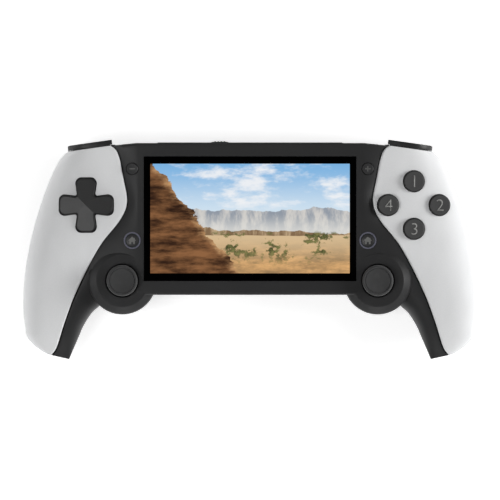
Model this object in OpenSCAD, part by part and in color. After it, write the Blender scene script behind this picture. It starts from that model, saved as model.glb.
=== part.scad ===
// Handheld game console: dark centre with a screen between two grips with pale covers.
// It lies on the backs of its grips. +X is the player's right, +Y points to the shoulder
// buttons and +Z comes out of the screen. All sizes are in millimetres.

/* [Body] */
// Width across both grips
body_w = 219.8; // [214:0.2:226]
// Height of the dark face above the surface that the grips lie on
face_z = 36; // [35:0.5:38]
// Height of the rear plate between the grips
back_z = 17; // [16:0.5:18]
// Height of the line where the grip covers meet the rear shell
part_z = 20; // [19:0.5:21]
// Wall of the shells
wall = 2; // [1.6:0.1:2.2]
// Least width of the sloping wings beside the flat face
wing_w = 5.2; // [4.2:0.1:5.6]
// Top edge of the centre body
body_top = 51.5; // [51:0.1:52]
// Bottom edge of the centre body
body_bottom = -21.9; // [-22.4:0.1:-21.6]
// Height of the joint between front frame and rear shell in the centre
joint_z = 24; // [23.6:0.1:24.2]

/* [Clearances] */
// Dark gap between grip covers and front frame
seam_gap = 0.4; // [0.3:0.05:0.6]
// Gap round buttons in their holes
button_gap = 0.3; // [0.2:0.05:0.4]
// Gap round the cross pad in its hole
pad_gap = 0.45; // [0.4:0.05:0.6]
// Radial clearance of pins in their bores
pin_gap = 0.05; // [0.03:0.01:0.08]
// Gap between fixed pieces that are set into each other
set_gap = 0.15; // [0.1:0.05:0.25]

/* [Screen] */
// Margin of the flat face beside the glass
glass_margin = 2.8; // [2.4:0.1:4]
// Margin of the face above the glass
top_margin = 6.6; // [6.2:0.1:7.4]
// Margin of the face below the glass
low_margin = 6.8; // [6.4:0.1:7.6]
// Thickness of the glass
glass_t = 1.2; // [0.8:0.1:1.6]
// Black border of the glass beside its window
bezel_side = 2.7; // [2.2:0.1:3.6]
// Black border of the glass above and below its window
bezel_end = 3.1; // [2.5:0.1:4]

/* [Controls] */
// Distance of cross pad and face buttons in from the outermost point
pad_in = 30.7; // [30.1:0.1:31.3]
// Place of cross pad and face buttons along the body
pad_y = 21.5; // [21:0.1:22]
// Length of the cross pad from end to end
pad_len = 26; // [25:0.2:27]
// Width of a cross pad arm at its end
pad_end_w = 9.6; // [9:0.1:10]
// Width of a cross pad arm at its root
pad_root_w = 8.2; // [7.6:0.1:8.6]
// Radius of a face button
face_button_r = 5.1; // [4.8:0.05:5.3]
// Sideways distance of a face button from the middle of its group
face_dx = 12.5; // [12:0.1:13]
// Up and down distance of a face button from the middle of its group
face_dy = 11.5; // [11:0.1:12]
// How far the buttons and the pad stand out of the cover
control_rise = 1.8; // [1.4:0.1:2.2]
// Travel of a face button
face_travel = 1.2; // [0.8:0.1:1.3]
// Gap between the glass and the lit rings
ring_margin = 1.6; // [1.3:0.1:1.9]
// Place of the minus and plus buttons along the body
small_top_y = 39; // [38:0.1:40]
// Radius of the minus and plus buttons
small_r = 2.75; // [2.5:0.05:2.85]
// Place of the ringed buttons along the body
ring_y = 4.4; // [4:0.1:4.8]
// Outer radius of the lit rings
ring_r = 4.1; // [3.9:0.05:4.3]
// Wall of the lit rings
ring_t = 0.7; // [0.5:0.05:0.8]
// Travel of the small buttons
small_travel = 0.5; // [0.3:0.05:0.55]

/* [Sticks] */
// Distance of the sticks in from the outermost point
stick_in = 48.2; // [47.7:0.1:48.5]
// Place of the sticks along the body
stick_y = -15; // [-15.4:0.1:-14.6]
// Radius of the stick cap
cap_r = 7.5; // [7:0.1:7.8]
// Radius of the hole in the pod
stick_hole_r = 8.1; // [7.9:0.05:8.4]
// Radius of the pod's flat top
pod_top_r = 12.6; // [12:0.1:13]
// Radius of the pod
pod_r = 16.4; // [16.2:0.1:16.8]
// Height of the cap's lower edge over the pod
cap_lift = 3.6; // [3.5:0.1:4]
// Thickness of the cap
cap_t = 2.8; // [2.4:0.1:3.2]
// Depth of the stick's pivot below the pod's top
pivot_depth = 5; // [4.9:0.1:5.2]
// Radius of the stick's pivot pins
gimbal_pin_r = 0.8; // [0.6:0.05:0.9]

/* [Shoulders] */
// Depth of the shoulder bar that shows beyond the cover
bar_show = 2.8; // [2.4:0.1:3]
// Depth of the shoulder bar below the cover
bar_inside = 5; // [4.5:0.1:5.5]
// Radius of the shoulder hinge pins
hinge_pin_r = 1; // [0.8:0.05:1.1]
// Length of a trigger along its hinge
trigger_len = 15; // [13:0.1:15.2]

/* [Inside] */
// Gap between the battery and the speakers
battery_gap = 5.5; // [4.5:0.1:12]
// Height of the battery
battery_h = 40; // [30:1:42]
// Thickness of the battery
battery_t = 4.6; // [3:0.1:4.8]
// Thickness of the circuit boards
board_t = 1.2; // [1:0.1:1.4]
// Height of the main board's underside
board_z = 24.4; // [24.2:0.1:24.6]
// Radius of the headphone bore
jack_r = 1.8; // [1.75:0.05:1.9]
// Radius of the case screws
screw_r = 1.1; // [0.9:0.05:1.2]

/* [Hidden] */
$fn = 48;

// Colours
dark = [0.19, 0.19, 0.19];
darker = [0.12, 0.12, 0.12];
pale = [0.86, 0.86, 0.87];
key_grey = [0.27, 0.27, 0.27];
lilac = [0.5, 0.5, 0.6];
board_green = [0.1, 0.3, 0.2];
steel = [0.7, 0.7, 0.72];
rubber_grey = [0.45, 0.45, 0.47];

// Stations of the right grip from its top to its foot. Each row holds the outer edge, the seam
// between cover and dark face and the inner edge, as distance in from the outermost point and
// place along the body, then the fall of the front at the seam, the height of the rear and the
// height at which the rear shell's inner side ends.
half_w = body_w / 2;
floor_mid = back_z + wall / 2;
top_outer = [21.4, 47.3];
top_seam = [42.4, 50.2];
shoulder_angle = atan2(top_outer.y - top_seam.y, top_seam.x - top_outer.x);
bar_start = -0.95;
foot_y = -top_seam.y - bar_show * cos(shoulder_angle) - bar_start * sin(shoulder_angle);
stations = [
    [top_outer.x, top_outer.y, top_seam.x, top_seam.y, 46.5, 48.0, 1.4, 12.0, floor_mid],
    [17.5, 43.2, 46.5, 45.6, 47.0, 44.0, 1.2, 9.0, floor_mid],
    [12.9, 34.0, 48.9, 34.5, 47.9, 34.0, 1.0, 3.0, floor_mid],
    [8.6, 22.5, 50.7, 23.0, 47.9, 23.0, 1.0, 0.0, floor_mid],
    [5.2, 11.0, 47.3, 14.3, 46.9, 11.0, 1.2, 0.0, floor_mid],
    [2.6, -0.5, 38.4, 3.0, 42.9, -5.0, 1.7, 0.0, floor_mid],
    [0.7, -12.5, 31.3, -9.5, 39.9, -23.0, 2.6, 0.0, floor_mid],
    [0.0, -24.5, 25.4, body_bottom, 36.9, -27.3, 4.0, 0.0, part_z],
    [0.1, -30.7, 22.7, -28.8, 33.0, -31.0, 4.9, 0.6, part_z],
    [0.8, -36.5, 20.3, -35.5, 29.2, -37.0, 6.2, 2.0, part_z],
    [1.6, -41.8, 18.6, -40.8, 27.2, -41.6, 7.8, 4.4, part_z],
    [4.5, -45.7, 17.1, -45.6, 25.3, -46.0, 9.9, 7.5, part_z],
    [8.0, -48.5, 15.6, -48.9, 23.7, -49.7, 11.6, 11.8, part_z],
    [11.3, -50.5, 13.6, -51.2, 22.3, foot_y, 13.0, 16.5, part_z]];
last_station = len(stations) - 1;
face_half = half_w - max([for (s = stations) s[2]]) - wing_w;

// Places across and along the body that follow from its outline
glass_w = 2 * (face_half - glass_margin);
glass_h = body_top - body_bottom - top_margin - low_margin;
glass_y = (body_top - top_margin + body_bottom + low_margin) / 2;
window_w = glass_w - 2 * bezel_side;
window_h = glass_h - 2 * bezel_end;
pad_x = half_w - pad_in;
small_x = glass_w / 2 + ring_margin + ring_r;
stick_x = half_w - stick_in;

// Course of the section curves
strip_start = 6;
strip_tuck = 0.3;
face_end = 7;
rear_start = 1.3;
bulkhead_at = [1.95, 2.15];
seam_step = 0.8;
lip = 0.5;
crown_n = 4;
crown_m = 2.2;
strip_n = 2.4;
rear_n = 2.3;
rear_mid = 0.45;
arc_steps = 8;
part_gap = 0.2;

// Smooth curve through the stations
function between(p0, p1, p2, p3, f) =
    p1 + f / 2 * ((p2 - p0) + f * ((2 * p0 - 5 * p1 + 4 * p2 - p3) + f * (3 * (p1 - p2) + p3 - p0)));
function station(u) =
    let (i = min(floor(u), last_station - 1))
    between(stations[max(i - 1, 0)], stations[i], stations[i + 1], stations[min(i + 2, last_station)],
        u - i);
function outer_pt(r) = [half_w - r[0], r[1]];
function seam_pt(r) = [half_w - r[2], r[3]];
function edge_pt(r) = [half_w - r[4], r[5]];
function seam_z(r) = face_z - r[6];
function rear_z(r) = max(r[7], 0);

// Heights of the cover and of the dark wing at a place on the right half
function crossing(p, u) =
    let (r = station(u), w = seam_pt(r), d = outer_pt(r) - w, q = p - w)
    d.x * q.y - d.y * q.x;
function find_cover(p, lo, hi, n) =
    n == 0 ? (lo + hi) / 2 :
    let (mid = (lo + hi) / 2)
    crossing(p, mid) > 0 ? find_cover(p, lo, mid, n - 1) : find_cover(p, mid, hi, n - 1);
function cover_z(p) =
    let (r = station(find_cover(p, 0, last_station, 24)), w = seam_pt(r),
        s = norm(p - w) / norm(outer_pt(r) - w))
    part_z + (seam_z(r) - part_z) * pow(1 - pow(s, crown_n), 1 / crown_m);
function find_seam(y, lo, hi, n) =
    n == 0 ? (lo + hi) / 2 :
    let (mid = (lo + hi) / 2)
    station(mid)[3] > y ? find_seam(y, mid, hi, n - 1) : find_seam(y, lo, mid, n - 1);
function wing_fall(x, half, edge_z) =
    face_z - (face_z - edge_z) * pow(max(x - face_half, 0) / (half - face_half), 1.5);
function wing_z(x, y) =
    let (r = station(find_seam(y, 0, face_end, 24)))
    wing_fall(x, seam_pt(r).x, seam_z(r) - seam_step);

// Rounded front of a grip from the seam outwards, as a row of points
function arc_row(start, dir, reach, z0, rise, n, m) =
    [for (i = [0:arc_steps])
        let (a = 90 * i / arc_steps, p = start + dir * reach * pow(sin(a), 2 / n))
        [p.x, p.y, z0 + rise * pow(cos(a), 2 / m)]];

// Closed shell through sections that each hold an outer and an inner row of points
module shell(sections) {
    half = len(sections[0][0]);
    n = 2 * half;
    points = [for (s = sections) each concat(s[0], [for (i = [half - 1:-1:0]) s[1][i]])];
    count = len(sections);
    sides = [for (j = [0:count - 2]) for (i = [0:n - 1])
        let (a = j * n + i, b = j * n + (i + 1) % n)
        each [[a, b, b + n], [a, b + n, a + n]]];
    start_cap = [for (i = [0:half - 2])
        each [[i, n - 1 - i, n - 2 - i], [i, n - 2 - i, i + 1]]];
    base = (count - 1) * n;
    end_cap = [for (i = [0:half - 2])
        each [[base + i, base + n - 2 - i, base + n - 1 - i],
            [base + i, base + i + 1, base + n - 2 - i]]];
    polyhedron(points, concat(sides, start_cap, end_cap));
}

// Section of the pale cover between seam and outer edge
function cover_section(u) =
    let (r = station(u), w = seam_pt(r), b = outer_pt(r), d = (b - w) / norm(b - w),
         o = w + d * seam_gap / 2, reach = norm(b - o), z0 = part_z + part_gap / 2, top = seam_z(r),
         outer = arc_row(o, d, reach, z0, top - z0, crown_n, crown_m),
         inner = arc_row(o, d, reach - wall, z0, top - wall - z0, crown_n, crown_m),
         e = o + d * lip)
    [concat([[o.x, o.y, top - lip], [e.x, e.y, top]], [for (i = [1:arc_steps]) outer[i]]),
     concat([[o.x, o.y, top - wall], [e.x, e.y, top - wall]], [for (i = [1:arc_steps]) inner[i]])];

// Section of the dark inner front of a grip from the seam to a share of the way to the inner edge
function strip_section(u, share = 1) =
    let (r = station(u), w = seam_pt(r), a = w + share * (edge_pt(r) - w), d = (a - w) / norm(a - w),
         o = w + d * (seam_gap / 2 + set_gap), reach = norm(a - o), z0 = part_z + part_gap / 2,
         top = seam_z(r) - seam_step - set_gap / 2)
    [arc_row(o, d, reach - wall, z0, max(top - wall - z0, wall / 4), strip_n, 2),
     arc_row(o, d, reach, z0, top - z0, strip_n, 2)];

// Row of points round the back of a grip, from its outer edge to its inner edge
function rear_row(b, d, reach, z_side, z_low, z_end, inset) =
    let (mid = reach * rear_mid, low = min(z_low + inset, z_side - wall / 4))
    concat(
        [for (i = [0:arc_steps - 1])
            let (a = 90 * i / arc_steps, f = 1 - pow(cos(a), 2 / rear_n),
                 p = b + d * (inset + (mid - inset) * f))
            [p.x, p.y, z_side - (z_side - low) * pow(sin(a), 2 / rear_n)]],
        [for (i = [0:arc_steps])
            let (a = 90 * i / arc_steps, f = pow(sin(a), 2 / rear_n),
                 p = b + d * (mid + (reach - mid - inset) * f))
            [p.x, p.y, z_end - (z_end - low) * pow(cos(a), 2 / rear_n)]]);
function rear_section(u) =
    let (r = station(u), b = outer_pt(r), e = edge_pt(r), d = (e - b) / norm(e - b),
         side = part_z - part_gap / 2, end = min(r[8], side))
    [rear_row(b, d, norm(e - b), side, rear_z(r), end, 0),
     rear_row(b, d, norm(e - b), side, rear_z(r), end, wall)];

// Section of the wall that closes a grip behind its trigger
function bulkhead_section(u) =
    let (r = station(u), b = outer_pt(r), e = edge_pt(r), d = (e - b) / norm(e - b),
         side = part_z - part_gap / 2,
         row = rear_row(b, d, norm(e - b), side, rear_z(r), min(r[8], side), wall / 2),
         low = [for (i = [1:len(row) - 1]) row[i]])
    [low, [for (p = low) [p.x, p.y, side]]];

// Section of the dark face at one place along the body
function face_section(y, half, edge_z) =
    let (right = [for (f = [0, 1/3, 2/3, 1])
             let (x = face_half + (half - face_half) * f)
             [x, wing_fall(x, half, edge_z)]],
         row = concat([for (i = [3:-1:0]) [-right[i].x, right[i].y]], right))
    [[for (p = row) [p.x, y, p.y]], [for (p = row) [p.x, y, p.y - wall]]];
top_corner_w = face_half + 1;
wing_end = [strip_start + 0.15, strip_start + 0.5];
pod_cover_x = stick_x + 0.7 * pod_top_r;
cover_under_z = seam_z(stations[0]) - wall - 2 * seam_gap;
tall_wall_half = seam_pt(stations[1]).x - 1;
face_sections = concat(
    [face_section(body_top, top_corner_w, face_z - 0.1),
     face_section(body_top - 0.6, top_corner_w + 6, face_z - 0.8)],
    [for (u = concat([for (v = [0:0.5:strip_start]) v], wing_end, [face_end]))
        let (r = station(u), half = seam_pt(r).x - seam_gap / 2)
        face_section(r[3], u > strip_start ? min(half, pod_cover_x) : half, seam_z(r) - seam_step)]);

module both_sides() {
    children();
    mirror([1, 0, 0]) children();
}

// Ports and slider
usb_x = 14;
usb_w = 9;
usb_h = 3.2;
usb_len = 7.4;
jack_x = -18;
jack_z = 26.6;
jack_collar_r = 2.3;
jack_body = [6, 12, 5];
card_x = 14;
card_w = 14;
card_t = 1.8;
card_len = 15;
card_mouth = [12, 1.2];
slider_x = -14.6;
slider_w = 9;
slider_t = 3;
slider_z = 30.5;
slider_travel = 3;
slider_out = 0.65;
slider_slope = 0.7;
slider_plate_t = 1.2;
slider_plate_w = 16;
top_strip_half = face_half - 9.3;
top_strip = 0.25;
rib_pitch = 1.5;
rib_h = 0.5;
rib_half = 0.45;

// Places of fasteners
post_r = 2.6;
case_screw_x_top = face_half - 18;
port_reach = max(abs(jack_x) + jack_body.x / 2, card_x + card_w / 2);
case_screw_x_low = port_reach + post_r + 6.4;
rail_mid_top = (glass_y + glass_h / 2 + body_top - wall) / 2;
rail_mid_low = (glass_y - glass_h / 2 + body_bottom + wall) / 2;
case_screws_at = [[case_screw_x_top, rail_mid_top], [-case_screw_x_top, rail_mid_top],
                  [case_screw_x_low, rail_mid_low], [-case_screw_x_low, rail_mid_low]];
screw_head_r = 2 * screw_r;
screw_head_t = 1.2;
grip_screw_at = [half_w - 13, -27];
grip_boss_low = 9;
grip_boss_r = 3;
screw_bite = 6;
board_post_at = [[face_half - 4, 42], [case_screw_x_low + 4, -12.6]];
board_screw_r = 0.9;
board_screw_head = 0.9;
board_screw_len = 4;

// Screen stack
glass_top = face_z + 0.15;
glass_z = glass_top - glass_t;
ledge_z = face_z - wall - 0.6;
lcd_w = window_w + 3;
lcd_h = window_h + 3;
lcd_t = 3;
tray_t = 1;
tray_over = 1;
lcd_z = ledge_z - lcd_t;
tray_z = lcd_z - tray_t;

// Pods and sticks
pod_top_z = face_z - 0.05;
pod_plate = 2.5;
pod_skirt_z = face_z - 3.8;
pod_wall_low = face_z - 6.4;
pod_room_r = pod_r - wall;
pivot_z = face_z - pivot_depth;
stick_clear_x = face_half - 0.8;

module pod_ring() {
    rotate_extrude($fn = 64)
        polygon([[stick_hole_r, pod_top_z - pod_plate], [stick_hole_r, pod_top_z],
            [pod_top_r, pod_top_z], [pod_r, pod_skirt_z], [pod_r, pod_wall_low],
            [pod_room_r, pod_wall_low], [pod_room_r, pod_top_z - pod_plate]]);
}

// Plan of the centre body and the room inside it
floor_half = half_w - 45.9;
wall_half = half_w - 43.3;
corner_fall = 0.19;
function corner_y(x) = body_top - corner_fall * (x - top_corner_w);
module body_plan(half) {
    polygon([[-half, body_bottom], [half, body_bottom], [half, corner_y(half)],
        [top_corner_w, body_top], [-top_corner_w, body_top], [-half, corner_y(half)]]);
    for (side = [-1, 1]) translate([side * stick_x, stick_y]) circle(r = pod_r, $fn = 64);
}
module body_room() {
    end_y = corner_y(wall_half) - wall;
    polygon([[-half_w, body_bottom + wall], [half_w, body_bottom + wall], [half_w, end_y],
        [wall_half, end_y], [top_corner_w, body_top - wall], [-top_corner_w, body_top - wall],
        [-wall_half, end_y], [-half_w, end_y]]);
    for (side = [-1, 1]) translate([side * stick_x, stick_y]) circle(r = pod_room_r, $fn = 64);
}
module side_walls(low, high) {
    translate([0, 0, low]) linear_extrude(high - low) difference() {
        body_plan(wall_half);
        body_room();
    }
}

// Tilted frame of the cross pad and of the face buttons, with its zero on the cover
pad_surface = cover_z([pad_x, pad_y]);
pad_fall = cover_z([pad_x - pad_len / 2, pad_y]) - cover_z([pad_x + pad_len / 2, pad_y]);
pad_tilt = atan(pad_fall / pad_len);
module control_frame(side) {
    translate([side * pad_x, pad_y, pad_surface]) rotate([0, side * pad_tilt, 0]) children();
}
control_board_top = -10;
membrane_t = 0.8;
dome_top = -7.6;
dome_r = 2.5;
flange_top = -5;
flange_t = 1;
tab_w = 4;
tab_out = 0.9;
hole_low = -9;
button_foot = dome_top + face_travel + 0.3;
ball_z = -4.2;
pivot_recess_r = 4.2;
ball_r = 2.2;
control_board_r = 13.4;
control_post_at = [[3, 6], [3, -6]];
control_post_len = (pad_surface - 1.6) / cos(pad_tilt) + control_board_top - board_t;
face_places = [[0, face_dy], [face_dx, 0], [0, -face_dy], [-face_dx, 0]];

// Cross with arms that widen towards rounded ends
pad_corner = 2.2;
function arm_end(half_len, half_end) =
    let (x = half_len - pad_corner, y = half_end - pad_corner)
    concat([for (a = [0:22.5:90]) [x + pad_corner * sin(a), -y - pad_corner * cos(a)]],
        [for (a = [0:22.5:90]) [x + pad_corner * cos(a), y + pad_corner * sin(a)]]);
module pad_outline(grow) {
    arm = concat(arm_end(pad_len / 2 + grow, pad_end_w / 2 + grow),
        [[pad_root_w / 2 + grow, pad_root_w / 2 + grow]]);
    polygon([for (q = [0:3]) for (p = arm)
        [p.x * cos(90 * q) - p.y * sin(90 * q), p.x * sin(90 * q) + p.y * cos(90 * q)]]);
}

// Small buttons on the wings
strip_board_z = face_z - 8;
strip_top = strip_board_z + board_t;
strip_w = 7;
tact_w = 4.2;
tact_t = 1.4;
tact_plunger = 0.6;
small_foot = strip_top + tact_t + tact_plunger + small_travel + 0.1;
small_rise = 0.5;
strip_post_at = [[small_x, 32], [small_x, 12]];

module button_holes() {
    for (side = [-1, 1]) {
        translate([side * small_x, small_top_y, strip_top])
            cylinder(r = small_r + button_gap, h = face_z);
        translate([side * small_x, ring_y, strip_top]) cylinder(r = ring_r + set_gap / 2, h = face_z);
    }
}

module front_frame() {
    color(dark) difference() {
        union() {
            shell(face_sections);
            both_sides() shell([strip_section(strip_start - strip_tuck, strip_tuck),
                for (u = [strip_start:0.5:last_station]) strip_section(u)]);
            side_walls(joint_z + part_gap / 2, cover_under_z);
            intersection() {
                side_walls(cover_under_z - wall, ledge_z + wall / 2);
                translate([-tall_wall_half, -body_w / 2, 0]) cube([2 * tall_wall_half, body_w, face_z]);
            }
            translate([-top_strip_half, body_top - wall, ledge_z - wall])
                cube([2 * top_strip_half, wall + top_strip, wall + face_z - ledge_z - 0.3]);
            translate([-glass_w / 2 - wall, glass_y - glass_h / 2 - wall, ledge_z])
                cube([glass_w + 2 * wall, glass_h + 2 * wall, wall]);
            both_sides() translate([stick_x, stick_y, 0]) difference() {
                pod_ring();
                translate([stick_clear_x - stick_x - pod_r, -1, 0]) cube([pod_r, 2 * pod_r, ledge_z]);
            }
            for (p = case_screws_at) translate([p.x, p.y, joint_z + part_gap / 2])
                cylinder(r = post_r, h = ledge_z + wall / 2 - joint_z);
            both_sides() for (p = strip_post_at) translate([p.x, p.y, strip_top])
                cylinder(r = 1.6, h = wing_z(p.x, p.y) - strip_top - wall / 2);
        }
        both_sides() translate([stick_x, stick_y, 0]) {
            cylinder(r = pod_room_r, h = pod_top_z - pod_plate, $fn = 64);
            cylinder(r = pod_r + set_gap, h = joint_z + part_gap / 2, $fn = 64);
            cylinder(r = stick_hole_r, h = 2 * face_z, $fn = 64);
        }
        translate([-glass_w / 2 - set_gap, glass_y - glass_h / 2 - set_gap, glass_z])
            cube([glass_w + 2 * set_gap, glass_h + 2 * set_gap, wall]);
        translate([-window_w / 2, glass_y - window_h / 2, joint_z]) cube([window_w, window_h, face_z]);
        button_holes();
        for (p = case_screws_at) translate([p.x, p.y, joint_z - wall])
            cylinder(r = screw_r + pin_gap, h = screw_bite + wall);
        translate([usb_x - usb_w / 2 - set_gap, body_top - 2 * wall, board_z + board_t - set_gap])
            cube([usb_w + 2 * set_gap, 4 * wall, usb_h + 2 * set_gap]);
        translate([jack_x, body_bottom + 2 * wall, jack_z]) rotate([90, 0, 0])
            cylinder(r = jack_collar_r + set_gap / 2, h = 4 * wall);
        translate([card_x - card_mouth.x / 2, body_bottom - wall,
            board_z + board_t + card_t / 2 - card_mouth.y / 2])
            cube([card_mouth.x, 4 * wall, card_mouth.y]);
        translate([slider_x - slider_w / 2 - button_gap, body_top - 2 * wall,
            slider_z - slider_t / 2 - button_gap])
            cube([slider_w + slider_travel + 2 * button_gap, 4 * wall, slider_t + 2 * button_gap]);
    }
}

speaker = [13, 18, 4.4];
speaker_at = [face_half - 10, -2];
battery_w = 2 * (speaker_at.x - speaker.x / 2 - battery_gap);
slot_w = 1.4;
slot_pitch = 2.8;

module rear_shell() {
    color(darker) difference() {
        union() {
            both_sides() {
                shell([for (u = [rear_start, each [1.5:0.5:last_station]]) rear_section(u)]);
                shell([for (u = bulkhead_at) bulkhead_section(u)]);
            }
            translate([0, 0, back_z]) linear_extrude(wall) body_plan(floor_half);
            side_walls(back_z, joint_z - part_gap / 2);
            for (side = [-1, 1]) for (p = board_post_at) translate([side * p.x, p.y, back_z + wall / 2])
                cylinder(r = post_r, h = board_z - back_z - wall / 2);
            for (p = case_screws_at) translate([p.x, p.y, back_z + wall / 2])
                cylinder(r = post_r, h = joint_z - part_gap / 2 - back_z - wall / 2);
            for (side = [-1, 1]) control_frame(side) for (p = control_post_at)
                translate([p.x * side, p.y, control_board_top - board_t - control_post_len])
                    cylinder(r = 2, h = control_post_len);
            both_sides() translate([grip_screw_at.x, grip_screw_at.y, 1])
                cylinder(r = grip_boss_r, h = grip_boss_low - 1 - part_gap);
        }
        for (side = [-1, 1]) for (p = board_post_at) translate([side * p.x, p.y, back_z + wall])
            cylinder(r = board_screw_r + pin_gap, h = board_z);
        for (p = case_screws_at) translate([p.x, p.y, back_z - 1]) {
            cylinder(r = screw_r + pin_gap, h = joint_z);
            cylinder(r = screw_head_r + set_gap, h = 1 + screw_head_t + set_gap);
        }
        both_sides() translate([grip_screw_at.x, grip_screw_at.y, -1]) {
            cylinder(r = screw_r + pin_gap, h = part_z);
            cylinder(r = screw_head_r + set_gap, h = 1 + wall + screw_head_t);
        }
        for (side = [-1, 1]) for (k = [-2:2])
            translate([side * speaker_at.x + k * slot_pitch - slot_w / 2, speaker_at.y - speaker.y / 3,
                back_z - 1])
                cube([slot_w, speaker.y * 2 / 3, wall + 2]);
        both_sides() bracket_screw_holes();
    }
}

module grip_cover(right) {
    boss_top = cover_z(grip_screw_at) - 0.8;
    color(pale) difference() {
        union() {
            mirror([right ? 0 : 1, 0, 0]) {
                shell([for (u = [0:1/3:last_station + 0.01]) cover_section(min(u, last_station))]);
                bar_rest();
                translate([grip_screw_at.x, grip_screw_at.y, grip_boss_low])
                    cylinder(r = grip_boss_r, h = boss_top - grip_boss_low);
            }
        }
        mirror([right ? 0 : 1, 0, 0]) translate([grip_screw_at.x, grip_screw_at.y, grip_boss_low - 1])
            cylinder(r = screw_r + pin_gap, h = screw_bite + 1);
        control_frame(right ? 1 : -1) {
            if (right) for (p = face_places) translate([p.x, p.y, hole_low])
                cylinder(r = face_button_r + button_gap, h = -2 * hole_low);
            else translate([0, 0, hole_low]) linear_extrude(-2 * hole_low) pad_outline(pad_gap);
        }
    }
}
module left_grip_cover() { grip_cover(false); }
module right_grip_cover() { grip_cover(true); }

module screen_glass() {
    color("black") translate([-glass_w / 2, glass_y - glass_h / 2, glass_z])
        cube([glass_w, glass_h, glass_t]);
}

module lcd_panel() {
    color([0.2, 0.3, 0.4]) translate([0, glass_y, lcd_z]) {
        translate([-lcd_w / 2, -lcd_h / 2, 0]) cube([lcd_w, lcd_h, lcd_t]);
        translate([-window_w / 2 + set_gap, -window_h / 2 + set_gap, lcd_t])
            cube([window_w - 2 * set_gap, window_h - 2 * set_gap, glass_z - ledge_z - set_gap]);
    }
}

module display_tray() {
    color(steel) translate([-lcd_w / 2 - tray_over, glass_y - lcd_h / 2 - tray_over, tray_z])
        difference() {
        cube([lcd_w + 2 * tray_over, lcd_h + 2 * tray_over, tray_t + lcd_t]);
        translate([tray_over - set_gap, tray_over - set_gap, tray_t])
            cube([lcd_w + 2 * set_gap, lcd_h + 2 * set_gap, lcd_t + 1]);
    }
}

ribbon_w = 20;
ribbon_t = 0.3;
ribbon_end = 8;
ribbon_bend = 2;
module display_ribbon() {
    low = board_z + board_t;
    high = tray_z - ribbon_t;
    color([0.8, 0.5, 0.2]) translate([-ribbon_w / 2, 0, 0]) rotate([90, 0, 90]) linear_extrude(ribbon_w)
        polygon([[-ribbon_bend, low], [ribbon_end, low], [ribbon_end, low + ribbon_t],
            [ribbon_end - ribbon_bend, low + ribbon_t], [ribbon_bend, high], [ribbon_end, high],
            [ribbon_end, tray_z], [0, tray_z], [0, high],
            [ribbon_end - 2 * ribbon_bend, low + ribbon_t], [-ribbon_bend, low + ribbon_t]]);
}

board_w = 2 * face_half - 4;
board_low = -15;
board_high = 46;
module main_board() {
    color(board_green) difference() {
        translate([-board_w / 2, board_low, board_z]) cube([board_w, board_high - board_low, board_t]);
        for (side = [-1, 1]) for (p = board_post_at) translate([side * p.x, p.y, board_z - 1])
            cylinder(r = board_screw_r + 0.2, h = 4);
        translate([jack_x - jack_body.x / 2 - set_gap, board_low - 1, board_z - 1])
            cube([jack_body.x + 2 * set_gap,
                jack_body.y + body_bottom + wall - board_low + 1 + 2 * set_gap, 4]);
        for (side = [-1, 1]) translate([side * stick_x, stick_y, board_z - 1])
            cylinder(r = pod_room_r - 2, h = 4);
        for (p = case_screws_at) translate([p.x, p.y, board_z - 1])
            cylinder(r = post_r + set_gap, h = 4);
    }
}

// Chips as corner on the board and size
chips = [[[-8, 12], [16, 16, 1.6]], [[16, 14], [11, 9, 1.1]], [[-30, 16], [12, 10, 1.1]],
         [[-34, 34], [8, 6, 1.4]]];
module board_chips() {
    color(darker) for (c = chips) translate([c[0].x, c[0].y, board_z + board_t]) cube(c[1]);
}

module battery() {
    color([0.25, 0.27, 0.3]) translate([-battery_w / 2, glass_y - battery_h / 2, back_z + wall])
        cube([battery_w, battery_h, battery_t]);
}

module speaker_box(side) {
    color(darker) translate([side * speaker_at.x, speaker_at.y, back_z + wall]) difference() {
        translate([-speaker.x / 2, -speaker.y / 2, 0]) cube(speaker);
        translate([0, 0, -1]) cylinder(r = speaker.x / 2 - 1, h = 2);
    }
}
module left_speaker() { speaker_box(-1); }
module right_speaker() { speaker_box(1); }

module usb_socket() {
    color(steel) translate([usb_x - usb_w / 2, body_top - 0.3 - usb_len, board_z + board_t])
        difference() {
        cube([usb_w, usb_len, usb_h]);
        translate([0.4, 1, 0.4]) cube([usb_w - 0.8, usb_len, usb_h - 0.8]);
    }
    color(darker) translate([usb_x - usb_w / 2 + 1.2, body_top - usb_len,
        board_z + board_t + usb_h / 2 - 0.35])
        cube([usb_w - 2.4, usb_len - 1.2, 0.7]);
}

jack_depth = 11;
module headphone_jack() {
    front = body_bottom + wall + set_gap;
    color(darker) difference() {
        union() {
            translate([jack_x - jack_body.x / 2, front, jack_z - jack_body.z / 2]) cube(jack_body);
            translate([jack_x, front + 1, jack_z]) rotate([90, 0, 0])
                cylinder(r = jack_collar_r, h = front + 1 - body_bottom);
        }
        translate([jack_x, body_bottom + jack_depth, jack_z]) rotate([90, 0, 0])
            cylinder(r = jack_r, h = jack_depth + 1);
    }
}

module card_slot() {
    front = body_bottom + wall + set_gap;
    color(steel) translate([card_x - card_w / 2, front, board_z + board_t]) difference() {
        cube([card_w, card_len, card_t]);
        translate([(card_w - card_mouth.x) / 2, -1, (card_t - card_mouth.y) / 2])
            cube([card_mouth.x, card_len, card_mouth.y]);
    }
}

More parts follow.
